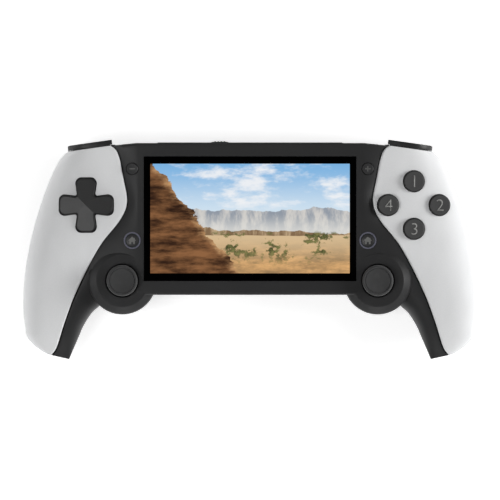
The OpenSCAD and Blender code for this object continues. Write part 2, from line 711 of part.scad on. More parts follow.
slider_plate_y = body_top - wall - set_gap;
module power_slider() {
    ribs = [for (k = [-1.5:1:1.5]) each [[k * rib_pitch - rib_half, slider_out],
        [k * rib_pitch, slider_out + rib_h], [k * rib_pitch + rib_half, slider_out]]];
    half = slider_w / 2;
    foot = slider_plate_y - 0.2 - body_top;
    color(darker) {
        translate([slider_x - slider_plate_w / 2, slider_plate_y - slider_plate_t, slider_z - 2.4])
            cube([slider_plate_w, slider_plate_t, 4.8]);
        translate([slider_x, body_top, slider_z - slider_t / 2]) linear_extrude(slider_t)
            polygon(concat([[half, foot], [-half, foot], [-half, 0], [slider_slope - half, slider_out]],
                ribs, [[half - slider_slope, slider_out], [half, 0]]));
    }
}

module power_switch() {
    start = glass_y + lcd_h / 2 + tray_over + set_gap;
    depth = slider_plate_y - slider_plate_t - set_gap - start;
    color(steel) translate([slider_x - 6, start, board_z + board_t])
        cube([15, depth, slider_z - board_z - board_t - 1]);
}

module dpad() {
    color(key_grey) control_frame(-1) difference() {
        union() {
            translate([0, 0, flange_top - flange_t])
                linear_extrude(control_rise - flange_top + flange_t) pad_outline(0);
            translate([0, 0, flange_top - flange_t]) linear_extrude(flange_t) pad_outline(1);
        }
        translate([0, 0, ball_z]) sphere(r = ball_r + pin_gap);
        translate([0, 0, ball_z - 10]) cylinder(r = pivot_recess_r, h = 10);
    }
}

module dpad_pivot() {
    color(steel) control_frame(-1) translate([0, 0, ball_z]) sphere(r = ball_r);
}

module control_membrane(side, places, middle_r) {
    color(rubber_grey) control_frame(side) translate([0, 0, control_board_top]) {
        difference() {
            cylinder(r = control_board_r, h = membrane_t);
            translate([0, 0, -1]) cylinder(r = middle_r, h = 3);
        }
        for (p = places) translate([p.x, p.y, membrane_t / 2])
            cylinder(r = dome_r, h = dome_top - control_board_top - membrane_t / 2);
    }
}
pad_dome_out = 9;
cup_r = 3;
module dpad_membrane() {
    control_membrane(-1, [[pad_dome_out, 0], [0, pad_dome_out], [-pad_dome_out, 0],
        [0, -pad_dome_out]], cup_r + set_gap);
}
module dpad_board() {
    color(board_green) control_frame(-1) difference() {
        union() {
            translate([0, 0, control_board_top - board_t]) cylinder(r = control_board_r, h = board_t);
            translate([0, 0, control_board_top - board_t / 2])
                cylinder(r = cup_r, h = ball_z - 0.6 - control_board_top + board_t / 2);
        }
        translate([0, 0, ball_z]) sphere(r = ball_r + pin_gap);
    }
}

module face_button(place) {
    edge = 0.7;
    color(key_grey) control_frame(1) translate([place.x, place.y, 0]) {
        rotate_extrude()
            polygon(concat(
                [[0, button_foot], [dome_r, button_foot], [dome_r, flange_top - flange_t],
                    [face_button_r, flange_top - flange_t]],
                [for (a = [0:22.5:90])
                    [face_button_r - edge + edge * cos(a), control_rise - edge + edge * sin(a)]],
                [[0, control_rise]]));
        translate([-tab_w / 2, -face_button_r - tab_out, flange_top - flange_t])
            cube([tab_w, 2 * (face_button_r + tab_out), flange_t]);
    }
}
module north_button() { face_button(face_places[0]); }
module east_button() { face_button(face_places[1]); }
module south_button() { face_button(face_places[2]); }
module west_button() { face_button(face_places[3]); }
module face_membrane() {
    control_membrane(1, [for (p = face_places) p * 0.8], cup_r);
}
module face_board() {
    color(board_green) control_frame(1) translate([0, 0, control_board_top - board_t])
        cylinder(r = control_board_r, h = board_t);
}

module small_button(side) {
    top = wing_z(small_x, small_top_y) + small_rise;
    flange = wing_z(small_x + small_r, small_top_y) - wall - 0.5;
    color(dark) translate([side * small_x, small_top_y, 0]) {
        translate([0, 0, small_foot]) cylinder(r = small_r, h = top - small_foot);
        translate([0, 0, small_foot]) cylinder(r = small_r + 0.9, h = flange - small_foot);
    }
}
module minus_button() { small_button(-1); }
module plus_button() { small_button(1); }

module home_button(side) {
    top = wing_z(small_x, ring_y) + small_rise / 2;
    color(dark) translate([side * small_x, ring_y, small_foot])
        cylinder(r = ring_r - ring_t - button_gap, h = top - small_foot);
}
module left_home_button() { home_button(-1); }
module right_home_button() { home_button(1); }

module light_ring(side) {
    top = wing_z(small_x, ring_y) + 0.1;
    color(lilac) translate([side * small_x, ring_y, strip_top]) difference() {
        cylinder(r = ring_r, h = top - strip_top);
        translate([0, 0, -1]) cylinder(r = ring_r - ring_t, h = face_z);
    }
}
module left_light_ring() { light_ring(-1); }
module right_light_ring() { light_ring(1); }

module strip_board(side) {
    color(board_green) translate([side * small_x - strip_w / 2, ring_y - 5, strip_board_z])
        cube([strip_w, small_top_y - ring_y + 9, board_t]);
}
module left_strip_board() { strip_board(-1); }
module right_strip_board() { strip_board(1); }

module tact_switches() {
    color(steel) for (side = [-1, 1]) for (y = [small_top_y, ring_y])
        translate([side * small_x, y, strip_top]) {
        translate([-tact_w / 2, -tact_w / 2, 0]) cube([tact_w, tact_w, tact_t]);
        translate([0, 0, tact_t / 2]) cylinder(r = 1.2, h = tact_t / 2 + tact_plunger);
    }
}

// Stick: a tub holds a sliding carrier, in which a ring and the shaft tilt on crossed pins
base_w = 15;
base_wall = 1;
carrier_w = base_w - 2 * base_wall - 0.4;
carrier_wall = 0.9;
carrier_low = pivot_z - 7;
carrier_top = pivot_z + 1.5;
yoke_r = 4.6;
yoke_in_r = 3.2;
yoke_half_h = 1.4;
shaft_r = 1.9;
neck_r = 3.8;
neck_z = face_z - 1;
cap_low = face_z + cap_lift;

module at_stick(side, z) { translate([side * stick_x, stick_y, z]) children(); }
module cross_bar(along, r, from, to) {
    rotate([0, 90, along == "x" ? 0 : 90]) {
        translate([0, 0, from]) cylinder(r = r, h = to - from);
        translate([0, 0, -to]) cylinder(r = r, h = to - from);
    }
}
module stick_base(side) {
    low = back_z + wall;
    color(darker) at_stick(side, low) difference() {
        translate([-base_w / 2, -base_w / 2, 0]) cube([base_w, base_w, pivot_z - 3.5 - low]);
        translate([-base_w / 2 + base_wall, -base_w / 2 + base_wall, 1])
            cube([base_w - 2 * base_wall, base_w - 2 * base_wall, face_z]);
    }
}
module stick_carrier(side) {
    inner = carrier_w - 2 * carrier_wall;
    color(steel) at_stick(side, 0) difference() {
        translate([-carrier_w / 2, -carrier_w / 2, carrier_low])
            cube([carrier_w, carrier_w, carrier_top - carrier_low]);
        translate([-inner / 2, -inner / 2, carrier_low - 1]) cube([inner, inner, face_z]);
        translate([0, 0, pivot_z]) cross_bar("x", gimbal_pin_r + pin_gap, inner / 2 - 1,
            carrier_w / 2 + 1);
    }
}
module stick_yoke(side) {
    color(rubber_grey) at_stick(side, pivot_z) {
        difference() {
            translate([0, 0, -yoke_half_h]) cylinder(r = yoke_r, h = 2 * yoke_half_h);
            translate([0, 0, -yoke_half_h - 1]) cylinder(r = yoke_in_r, h = 2 * yoke_half_h + 2);
            cross_bar("y", gimbal_pin_r + pin_gap, 0, yoke_r + 1);
        }
        cross_bar("x", gimbal_pin_r, yoke_r - 0.4, carrier_w / 2 - set_gap);
    }
}
module stick_cap(side) {
    rim = 1;
    dish_r = 6;
    dish = 1;
    dish_edge = 0.3;
    top = cap_low + cap_t;
    color(dark) at_stick(side, 0) {
        rotate_extrude($fn = 64)
            polygon(concat(
                [[0, pivot_z - 1.6], [shaft_r, pivot_z - 1.6], [shaft_r, neck_z],
                    [neck_r, neck_z], [neck_r, cap_low], [cap_r, cap_low]],
                [for (a = [0:22.5:90]) [cap_r - rim + rim * cos(a), top - rim + rim * sin(a)]],
                [for (f = [1:-0.25:0]) [dish_r * f, top - dish + (dish - dish_edge) * f * f]]));
        translate([0, 0, pivot_z]) cross_bar("y", gimbal_pin_r, 0, yoke_r - 0.2);
    }
}
module left_stick_base() { stick_base(-1); }
module left_stick_carrier() { stick_carrier(-1); }
module left_stick_yoke() { stick_yoke(-1); }
module left_stick_cap() { stick_cap(-1); }
module right_stick_base() { stick_base(1); }
module right_stick_carrier() { stick_carrier(1); }
module right_stick_yoke() { stick_yoke(1); }
module right_stick_cap() { stick_cap(1); }

// Shoulder parts, in a frame along the cover's top edge: X along the edge, Y outwards
shoulder_start = seam_pt(stations[0]);
shoulder_end = outer_pt(stations[0]);
shoulder_len = norm(shoulder_end - shoulder_start);
bar_room = wall + 0.4;
bar_face_gap = 0.65;
bar_corner = 1.7;
bar_low = part_z + 4;
bar_top_rise = seam_z(stations[0]) - bar_room - part_z;
bar_pin_at = [2.2, -3.2];
rest_w = 2.6;
rest_in = 0.4;
rest_under = 0.5;
trigger_pin_at = [-6, 19];
trigger_from = 1.2;
lug_low = part_z + 1.8;
ear_t = 1.5;
ear_gap = 0.3;
plate_y = -12;
plate_t = 2;
bracket_low = back_z - 2;
lug_t = 1.9;
lug_w = 4;
foot = [9.5, 4, 2.4];
foot_in = 9;

module shoulder_frame() {
    translate([shoulder_start.x, shoulder_start.y, 0]) rotate([0, 0, shoulder_angle]) children();
}
module shoulder(right) {
    mirror([right ? 0 : 1, 0, 0]) shoulder_frame() children();
}
function bar_section(start, length) =
    let (steps = 12, end_a = acos(pow((bar_low - part_z) / bar_top_rise, crown_m / 2)))
    concat([[start, bar_low], [start, part_z + bar_top_rise]],
        [for (i = [1:steps]) let (a = end_a * i / steps)
            [length * pow(sin(a), 2 / crown_n), part_z + bar_top_rise * pow(cos(a), 2 / crown_m)]]);
module bar_piece(start, length, low_y) {
    translate([0, bar_show, 0]) rotate([90, 0, 0]) linear_extrude(bar_show - low_y)
        polygon(bar_section(start, length));
}
module bar_plan() {
    translate([bar_start, 0]) square([shoulder_len - bar_corner - bar_start, bar_show]);
    translate([shoulder_len - bar_corner, bar_show - bar_corner]) circle(bar_corner, $fn = 32);
    square([shoulder_len, bar_show - bar_corner]);
}
module bumper(right) {
    color(darker) shoulder(right) difference() {
        union() {
            bar_piece(0, shoulder_len - bar_room, -bar_inside);
            intersection() {
                bar_piece(bar_start, shoulder_len, bar_face_gap);
                linear_extrude(face_z) bar_plan();
            }
        }
        translate([bar_pin_at.x, bar_pin_at.y, bar_low - 1])
            cylinder(r = hinge_pin_r + pin_gap, h = 20);
    }
}
// Ledge of a cover that closes the gap behind the outer end of its bar
module bar_rest() {
    low = part_z + part_gap;
    shoulder_frame() translate([shoulder_len - rest_in - rest_w, -wall / 2, low])
        cube([rest_w, wall / 2 + bar_face_gap + rest_under, bar_low - 2 * set_gap - low]);
}
module left_bumper() { bumper(false); }
module right_bumper() { bumper(true); }

module trigger(right) {
    top = lug_low - 0.6;
    color(darker) shoulder(right) difference() {
        translate([trigger_from, 0, 0]) rotate([90, 0, 90]) linear_extrude(trigger_len)
            polygon([[-7.8, top - 0.6], [-6.5, top], [0.6, top], [1.8, top - 1], [2.3, top - 3.2],
                [2.2, 13], [1.5, 9.5], [0.4, 6.8], [-1, 5], [-2.2, 4.4], [-3.2, 4.8], [-3.6, 6],
                [-3.4, 9], [-4.2, 12.6], [-5.6, 15.4], [-7.8, 17.2]]);
        translate([trigger_from - 1, trigger_pin_at.x, trigger_pin_at.y]) rotate([0, 90, 0])
            cylinder(r = hinge_pin_r + pin_gap, h = trigger_len + 2);
    }
}
module left_trigger() { trigger(false); }
module right_trigger() { trigger(true); }

bracket_screw_at = [-6, -10];
module bracket_screw_holes() {
    shoulder_frame() translate([bracket_screw_at.x, bracket_screw_at.y, back_z + wall / 2])
        cylinder(r = board_screw_r + pin_gap, h = 3);
}
module shoulder_bracket(right) {
    ears = [trigger_from - ear_gap - ear_t, trigger_from + trigger_len + ear_gap];
    color(rubber_grey) shoulder(right) difference() {
        union() {
            translate([ears[0], plate_y, bracket_low])
                cube([ears[1] + ear_t - ears[0], plate_t, lug_low + lug_t - bracket_low]);
            for (x = ears) translate([x, plate_y, back_z])
                cube([ear_t, trigger_pin_at.x + plate_t - plate_y, lug_low - ear_gap - back_z]);
            translate([ear_gap - 0.1, plate_y, lug_low])
                cube([lug_w, bar_pin_at.y + plate_t - plate_y, lug_t]);
            translate([-foot_in, plate_y, back_z + wall]) cube(foot);
        }
        translate([ears[0] - 1, trigger_pin_at.x, trigger_pin_at.y]) rotate([0, 90, 0])
            cylinder(r = hinge_pin_r + pin_gap, h = trigger_len + 8);
        translate([bar_pin_at.x, bar_pin_at.y, lug_low - 1])
            cylinder(r = hinge_pin_r + pin_gap, h = 10);
        translate([bracket_screw_at.x, bracket_screw_at.y, back_z])
            cylinder(r = board_screw_r + set_gap, h = foot.z + lug_t + plate_t + wall);
    }
}
module left_shoulder_bracket() { shoulder_bracket(false); }
module right_shoulder_bracket() { shoulder_bracket(true); }

module shoulder_pins() {
    pin_end = part_z + bar_top_rise - 1;
    color(steel) for (right = [false, true]) shoulder(right) {
        translate([bar_pin_at.x, bar_pin_at.y, lug_low])
            cylinder(r = hinge_pin_r, h = pin_end - lug_low);
        translate([trigger_from - ear_gap - ear_t, trigger_pin_at.x, trigger_pin_at.y])
            rotate([0, 90, 0])
            cylinder(r = hinge_pin_r, h = trigger_len + 2 * (ear_gap + ear_t));
    }
}

module screw(r, head_r, head_t, length) {
    difference() {
        union() {
            cylinder(r = head_r, h = head_t);
            translate([0, 0, head_t / 2]) cylinder(r = r, h = length);
        }
        for (a = [0, 90]) rotate([0, 0, a]) translate([-head_r * 0.7, -head_r * 0.15, -1])
            cube([head_r * 1.4, head_r * 0.3, 1 + head_t / 2]);
    }
}
module case_screws() {
    color(steel) {
        for (p = case_screws_at) translate([p.x, p.y, back_z])
            screw(screw_r, screw_head_r, screw_head_t, joint_z - back_z + screw_bite - screw_head_t);
        both_sides() translate([grip_screw_at.x, grip_screw_at.y, wall])
            screw(screw_r, screw_head_r, screw_head_t,
                grip_boss_low - wall + screw_bite - screw_head_t);
    }
}
module board_screws() {
    color(steel) {
        for (side = [-1, 1]) for (p = board_post_at)
            translate([side * p.x, p.y, board_z + board_t + board_screw_head])
            mirror([0, 0, 1]) screw(board_screw_r, 2 * board_screw_r, board_screw_head,
                board_screw_len);
        both_sides() shoulder_frame()
            translate([bracket_screw_at.x, bracket_screw_at.y, back_z + wall + foot.z + board_screw_head])
            mirror([0, 0, 1]) screw(board_screw_r, 2 * board_screw_r, board_screw_head, 2.8);
    }
}

front_frame();
rear_shell();
left_grip_cover();
right_grip_cover();
screen_glass();
lcd_panel();
display_tray();
display_ribbon();
main_board();
board_chips();
battery();
left_speaker();
right_speaker();
usb_socket();
headphone_jack();
card_slot();
power_switch();
power_slider();
dpad();
dpad_pivot();
dpad_membrane();
dpad_board();
north_button();
east_button();
south_button();
west_button();
face_membrane();
face_board();
minus_button();
plus_button();
left_home_button();
right_home_button();
left_light_ring();
right_light_ring();
left_strip_board();
right_strip_board();
tact_switches();
left_stick_base();
left_stick_carrier();
left_stick_yoke();
left_stick_cap();
right_stick_base();
right_stick_carrier();
right_stick_yoke();
right_stick_cap();
left_bumper();
right_bumper();
left_trigger();
right_trigger();
left_shoulder_bracket();
right_shoulder_bracket();
shoulder_pins();
case_screws();
board_screws();
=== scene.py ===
from collections import namedtuple
from math import atan2, cos, pi, radians, sin, sqrt

import bpy
from mathutils import Matrix, Vector


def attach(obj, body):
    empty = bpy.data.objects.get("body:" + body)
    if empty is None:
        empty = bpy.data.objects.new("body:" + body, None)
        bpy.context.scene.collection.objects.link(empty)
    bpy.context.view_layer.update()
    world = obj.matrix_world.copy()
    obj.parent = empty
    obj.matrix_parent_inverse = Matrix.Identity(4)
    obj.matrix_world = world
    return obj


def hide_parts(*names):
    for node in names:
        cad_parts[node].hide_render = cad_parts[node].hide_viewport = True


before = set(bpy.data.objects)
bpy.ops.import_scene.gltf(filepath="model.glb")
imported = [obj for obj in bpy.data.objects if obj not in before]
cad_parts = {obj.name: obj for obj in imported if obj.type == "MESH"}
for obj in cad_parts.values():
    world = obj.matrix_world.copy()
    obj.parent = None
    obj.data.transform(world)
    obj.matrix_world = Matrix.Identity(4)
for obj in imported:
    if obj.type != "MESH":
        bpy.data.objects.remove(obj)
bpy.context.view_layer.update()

bl_info = {
    "name": "Handheld Game Console",
    "version": (1, 0, 0),
    "blender": (4, 2, 0),
    "location": "View3D > Sidebar > Console",
    "description": "Builds the look of a handheld game console round its CAD frame",
    "category": "Object",
}

MM = 0.001

# Main sizes of the shells, in millimetres
HALF_W = 109.9
FACE_Z = 36.0
BACK_Z = 17.0
PART_Z = 20.0
JOINT_Z = 24.0
SHELL_GAP = 0.1
WALL = 2.0
WALL_END = 66.6
WALL_TOP = 34.7
FACE_HALF = 54.0
BODY_TOP = 51.5
BODY_LOW = -21.9
SEAM_HALF_GAP = 0.2
SEAM_STEP = 0.8
SEAM_BULGE = 0.3
FOOT_EDGE = 0.7
POD_COVER_X = 70.5
SCREW_HOLE_R = 2.35

# Slope of the top edge beyond the face, and how the face falls off at its corners
TOP_SLOPE = 0.104
CORNER_FALL, CORNER_RUN, CORNER_SINK = 2.2, 1.3, 0.1

# Places along a grip, counted in stations
STRIP_START, STRIP_TUCK, FACE_END, WING_FADE = 6, 0.3, 7, 0.15

# Stations of the right grip, from its shoulder to its foot: outer edge, seam and inner edge as
# distance in from the outermost point and place along the body, then fall of the front at the
# seam and heights of the back and of its inner end
FIELDS = "outer_in outer_y seam_in seam_y edge_in edge_y fall rear_z end_z"
STATIONS = (
    (21.4, 47.3, 42.4, 50.2, 46.5, 48, 1.4, 12, 18),
    (17.5, 43.2, 46.5, 45.6, 47, 44, 1.2, 9, 18),
    (12.9, 34, 48.9, 34.5, 47.9, 34, 1, 3, 18),
    (8.6, 22.5, 50.7, 23, 47.9, 23, 1, 0, 18),
    (5.2, 11, 47.3, 14.3, 46.9, 11, 1.2, 0, 18),
    (2.6, -0.5, 38.4, 3, 42.9, -5, 1.7, 0, 18),
    (0.7, -12.5, 31.3, -9.5, 39.9, -23, 2.6, 0, 18),
    (0, -24.5, 25.4, -21.9, 36.9, -27.3, 4, 0, 20),
    (0.1, -30.7, 22.7, -28.8, 33, -31, 4.9, 0.6, 20),
    (0.8, -36.5, 20.3, -35.5, 29.2, -37, 6.2, 2, 20),
    (1.6, -41.8, 18.6, -40.8, 27.2, -41.6, 7.8, 4.4, 20),
    (4.5, -45.7, 17.1, -45.6, 25.3, -46, 9.9, 7.5, 20),
    (8, -48.5, 15.6, -48.9, 23.7, -49.7, 11.6, 11.8, 20),
    (11.3, -50.5, 13.6, -51.2, 22.3, -53.104, 13, 16.5, 20),
)
LAST = len(STATIONS) - 1

# Places and sizes of the controls, in millimetres
PAD_AT = Vector((79.2, 21.5, 34.6551))
PAD_TILT = radians(6.08081)
PAD_GAP = 0.45
FACE_KEYS = {"north": (0, 11.5, "1"), "east": (12.5, 0, "2"), "south": (0, -11.5, "3"),
             "west": (-12.5, 0, "4")}
FACE_HOLE_R = 5.4
SMALL_X, SMALL_Y, SMALL_Z, SMALL_HOLE_R = 56.9, 39.0, 36.077, 3.05
RING_Y, RING_Z, RING_HOLE_R = 4.4, 35.822, 4.175
STICK_AT = Vector((61.7, -15.0))
STICK_HOLE_R, STICK_ROOM_R, STICK_PIVOT_Z = 8.1, 14.5, 31
GLASS_AT = Vector((0, 14.9, 36.15))
GLASS_SIZE = 102.4, 60.0, 1.2

SIDES = (-1, "left"), (1, "right")

# Points closer than this are one, in metres
MERGE = 1e-6


def length_property(name, description, default):
    return bpy.props.FloatProperty(
        name=name, description=description, default=default, unit="LENGTH")


class ConsoleSizes(bpy.types.PropertyGroup):
    """Sizes of the finish that a user would change"""

    cover_edge: length_property("Cover edge", "Rounding of the covers along the seam", 0.0009)
    frame_edge: length_property("Frame edge", "Rounding of the dark body's long edges", 0.0012)
    key_edge: length_property("Key edge", "Rounding of the cross pad's top edge", 0.0007)
    bar_edge: length_property("Bar edge", "Rounding of shoulder bars and triggers", 0.0006)
    digit_height: length_property("Digit height", "Height of the buttons' digits", 0.0056)
    ink: length_property("Ink", "Thickness of printed marks", 0.00006)
    grain: length_property("Grain", "Pitch of the moulded grain", 0.0004)


def colour_property(name, description, default):
    return bpy.props.FloatVectorProperty(
        name=name, description=description, default=default, subtype="COLOR", size=3, min=0, max=1)


class ConsoleColours(bpy.types.PropertyGroup):
    """Colours that a user would change, in linear light"""

    cover: colour_property("Cover", "Pale grip covers", (0.735, 0.74, 0.745))
    shell: colour_property("Shell", "Dark front frame", (0.0250, 0.0250, 0.0255))
    rear: colour_property("Rear", "Rear shell", (0.012, 0.012, 0.0125))
    key: colour_property("Key", "Cross pad and round buttons", (0.022, 0.022, 0.022))
    mark: colour_property("Mark", "Printed marks", (0.26, 0.26, 0.25))
    stick: colour_property("Stick", "Rubber of the stick caps", (0.024, 0.024, 0.0245))
    bar: colour_property("Bar", "Shoulder bars and triggers", (0.014, 0.014, 0.014))
    ring: colour_property("Ring", "Light of the rings", (0.075, 0.075, 0.10))
    board: colour_property("Board", "Circuit boards", (0.012, 0.075, 0.040))
    sky: colour_property("Sky", "Sky of the screen picture", (0.20, 0.47, 0.80))
    sand: colour_property("Sand", "Ground of the screen picture", (0.50, 0.27, 0.10))
    floor: colour_property("Floor", "Studio floor", (0.93, 0.93, 0.93))


def sizes():
    return bpy.context.scene.console_sizes


def colours():
    return bpy.context.scene.console_colours


# Shape of the shells


class Row(namedtuple("Row", FIELDS)):
    """Section of the right grip, with its three points in plan"""

    outer = property(lambda row: Vector((HALF_W - row.outer_in, row.outer_y)))
    seam = property(lambda row: Vector((HALF_W - row.seam_in, row.seam_y)))
    edge = property(lambda row: Vector((HALF_W - row.edge_in, row.edge_y)))


def station(u):
    """Row of the right grip at a place along it, on a smooth curve through the stations"""
    i = min(int(u), LAST - 1)
    rows = [STATIONS[min(max(k, 0), LAST)] for k in range(i - 1, i + 3)]
    f = u - i
    row = Row(*(
        b + f / 2 * ((c - a) + f * ((2 * a - 5 * b + 4 * c - d) + f * (3 * (b - c) + d - a)))
        for a, b, c, d in zip(*rows)
    ))
    bulge = SEAM_BULGE * sin(pi * u) if u < 1 else 0
    return row._replace(seam_in=row.seam_in + bulge, seam_y=row.seam_y + bulge)


def quarter(steps):
    """Angles of a quarter turn"""
    return [pi / 2 * k / steps for k in range(steps + 1)]


def spaced(start, stop, step):
    count = max(1, round((stop - start) / step))
    return [start + (stop - start) * k / count for k in range(count + 1)]


def at(p, z):
    return (p.x, p.y, z)


# Shares of the way from a seam to its edge, closer together where the front bends down
CROWN = (0.06, 0.1, 0.15, 0.2, 0.26, 0.32, 0.38, 0.44, 0.5, 0.56, 0.62, 0.67, 0.72, 0.76, 0.8,
         0.835, 0.865, 0.89, 0.912, 0.932, 0.949, 0.964, 0.976, 0.986, 0.993, 0.998, 1.0)


def front_loop(row, goal, gap, lower, powers, edge, drop):
    """Closed section of a grip's front from its seam to goal, with its inner side"""
    n, m = powers
    seam = row.seam
    d = (goal - seam).normalized()
    start = seam + d * gap
    reach = (goal - start).length
    base = PART_Z + SHELL_GAP
    top = FACE_Z - row.fall - lower - drop
    rise = max(top - base, 0.3)
    crown = [s for s in CROWN if s * reach > 1.5 * edge]
    while len(crown) < len(CROWN):
        crown.insert(0, (crown[0] + 1.2 * edge / reach) / 2)
    height = [(1 - s ** n) ** (1 / m) for s in crown]
    lip = min(edge, rise / 2)
    outer = [at(start + d * lip * (1 - cos(a)), top - lip + lip * sin(a))
             for a in quarter(5)]
    outer += [at(start + d * reach * s, base + rise * h) for s, h in zip(crown, height)]
    inner_rise = max(rise - WALL, 0.1)
    inner_reach = max(reach - WALL, 0.2)
    inner = [at(start + d * inner_reach * s, base + inner_rise * h) for s, h in zip(crown, height)]
    return outer + inner[::-1] + [at(start, base + inner_rise)]


def end_drop(distance, edge):
    """How far a rounded end lies below the full height"""
    t = min(max(distance / edge, 0), 1)
    return edge * (1 - sqrt(1 - (1 - t) ** 2))


def to_foot(start):
    """Places along a grip, close together where it rounds off at its foot"""
    return spaced(start, LAST - 0.25, 0.125) + [LAST - d for d in (0.2, 0.12, 0.06, 0.02, 0)]


def cover_loops(edge):
    """Sections of a pale cover, rounded off at its shoulder and its foot"""
    shoulder, shoulder_pace, foot_pace = [0, 0.006, 0.025, 0.06, 0.11, 0.17], 4.8, 3.4
    loops = []
    for u in shoulder + to_foot(0.25):
        row = station(u)
        drop = end_drop(u * shoulder_pace, edge) + end_drop((LAST - u) * foot_pace, FOOT_EDGE)
        loops.append(front_loop(row, row.outer, SEAM_HALF_GAP, 0, (4, 2.2), edge, drop))
    return loops


def strip_loops():
    """Sections of the dark strip between a cover and the inner edge of its grip"""
    gap, lower, edge, foot_pace = 0.35, SEAM_STEP + 0.08, 0.5, 3.6
    loops = []
    for u in [STRIP_START - STRIP_TUCK] + to_foot(STRIP_START):
        row = station(u)
        drop = end_drop((LAST - u) * foot_pace, FOOT_EDGE)
        goal = row.seam.lerp(row.edge, 1 if u >= STRIP_START else STRIP_TUCK)
        loops.append(front_loop(row, goal, gap, lower, (2.4, 2), edge, drop))
    return loops


def rear_path(row, inset):
    """Points round the back of a grip, from its outer edge to its inner edge"""
    b, e = row.outer, row.edge
    d, reach = (e - b).normalized(), (e - b).length
    side = PART_Z - SHELL_GAP
    end = min(row.end_z, side)
    mid = reach * 0.45
    low = min(max(row.rear_z, 0) + inset, side - WALL / 4)
    turns, power = quarter(14), 2 / 2.3
    path = [
        at(b + d * (inset + (mid - inset) * (1 - cos(a) ** power)),
           side - (side - low) * sin(a) ** power)
        for a in turns[:-1]
    ]
    path += [
        at(b + d * (mid + (reach - mid - inset) * sin(a) ** power),
           end - (end - low) * max(cos(a), 0) ** power)
        for a in turns
    ]
    return path


def rear_loops():
    """Sections of the back of a grip"""
    rows = [station(u) for u in [1.3, 1.4] + spaced(1.5, LAST, 0.125)]
    return [rear_path(row, 0) + rear_path(row, WALL)[::-1] for row in rows]


def bulkhead_loops():
    """Wall across the back of a grip, at its shoulder"""
    paths = [rear_path(station(u), WALL / 2)[1:] for u in (1.95, 2.15)]
    return [path + [(x, y, PART_Z - SHELL_GAP) for x, y, _ in path[::-1]] for path in paths]


def top_edge(x):
    """Top edge of the centre body in plan, which falls off at its corners"""
    return BODY_TOP - TOP_SLOPE * max(abs(x) - FACE_HALF - 1, 0)


def seam_at(y):
    """Half width of the dark face and height of its edge at a place along the body"""
    if y > station(0).seam_y:
        down = BODY_TOP - y
        return (FACE_HALF + 1 + down / TOP_SLOPE,
                FACE_Z - CORNER_FALL * down / CORNER_RUN - CORNER_SINK)
    lo, hi = 0.0, FACE_END
    for _ in range(40):
        mid = (lo + hi) / 2
        if station(mid).seam_y > y:
            lo = mid
        else:
            hi = mid
    row = station(lo)
    half = row.seam.x - SEAM_HALF_GAP
    fade = min(max(lo - STRIP_START, 0) / WING_FADE, 1)
    return half + (POD_COVER_X - half) * fade, FACE_Z - row.fall - SEAM_STEP


def face_loops(edge):
    """Sections of the dark face with its wings, from its top edge down"""
    rounds = [edge * (1 - cos(a)) for a in quarter(6)]
    ys = [BODY_TOP - r for r in rounds] + spaced(BODY_TOP - 1.6, BODY_LOW + 1.6, -1.2)
    ys += [BODY_LOW + r for r in rounds[::-1]]
    shares = [k / 14 for k in range(1, 14)] + [0.975, 0.99, 1.0]
    loops = []
    for y in ys:
        half, edge_z = seam_at(y)
        wing = [(FACE_HALF + (half - FACE_HALF) * f, f) for f in shares]
        right = [(FACE_HALF * k / 6, 0) for k in range(7)] + wing
        row = [(-x, f) for x, f in right[:0:-1]] + right
        outer = []
        for x, f in row:
            z = FACE_Z - (FACE_Z - edge_z) * f ** 1.5
            z -= end_drop(top_edge(x) - y, edge) + end_drop(y - BODY_LOW, edge)
            z -= end_drop((1 - f) * (half - FACE_HALF), 0.3) if f else 0
            outer.append((x, y, z))
        loops.append(outer + [(x, y, z - WALL) for x, y, z in outer[::-1]])
    return loops


def wall_loops(at_top):
    """Straight wall along the top or the bottom edge of the centre body, lower at its ends"""
    step_x, end_top = 62, 31.6
    low = JOINT_Z + SHELL_GAP
    loops = []
    for x in [-WALL_END, -62.2, -61.8] + spaced(-55, 55, 5) + [61.8, 62.2, WALL_END]:
        y, wall = (top_edge(x), -WALL) if at_top else (BODY_LOW, WALL)
        high = WALL_TOP if abs(x) < step_x else end_top
        loops.append([(x, y, low), (x, y, high), (x, y + wall, high), (x, y + wall, low)])
    return loops


def tub_loops(edge):
    """Rear plate with its two walls, as sections across the body"""
    loops = []
    low, high, floor, bend = BODY_LOW, JOINT_Z - SHELL_GAP, BACK_Z + WALL, quarter(6)
    for x in [-WALL_END] + spaced(-62, 62, 2) + [WALL_END]:
        top = top_edge(x)
        outer = [(x, top, high)]
        outer += [(x, top - edge + edge * cos(a), BACK_Z + edge - edge * sin(a))
                  for a in bend]
        outer += [(x, low + edge - edge * sin(a), BACK_Z + edge - edge * cos(a))
                  for a in bend]
        outer += [(x, low, high)]
        inner = [(x, low + WALL, high), (x, low + WALL, floor)]
        inner += [(x, top - WALL, floor), (x, top - WALL, high)]
        loops.append(outer + inner)
    return loops


def pad_outline(grow):
    """Cross with arms that widen towards rounded ends"""
    length, end, root = 13 + grow, 4.8 + grow, 4.1 + grow
    corner, crown, fillet = 2.8, 0.25, 0.9
    arm = [(length - corner + corner * sin(a) - crown * cos(a) ** 2,
            -end + corner - corner * cos(a)) for a in quarter(6)]
    arm += [(length - corner + corner * cos(a) - crown * sin(a) ** 2,
             end - corner + corner * sin(a)) for a in quarter(6)]
    arm += [(root + fillet - fillet * sin(a), root + fillet - fillet * cos(a))
            for a in quarter(4)]
    points = []
    for q in range(4):
        c, s = cos(q * pi / 2), sin(q * pi / 2)
        points += [(x * c - y * s, x * s + y * c) for x, y in arm]
    return points


# Modelling steps


def activate(obj):
    bpy.ops.object.select_all(action="DESELECT")
    obj.select_set(True)
    bpy.context.view_layer.objects.active = obj


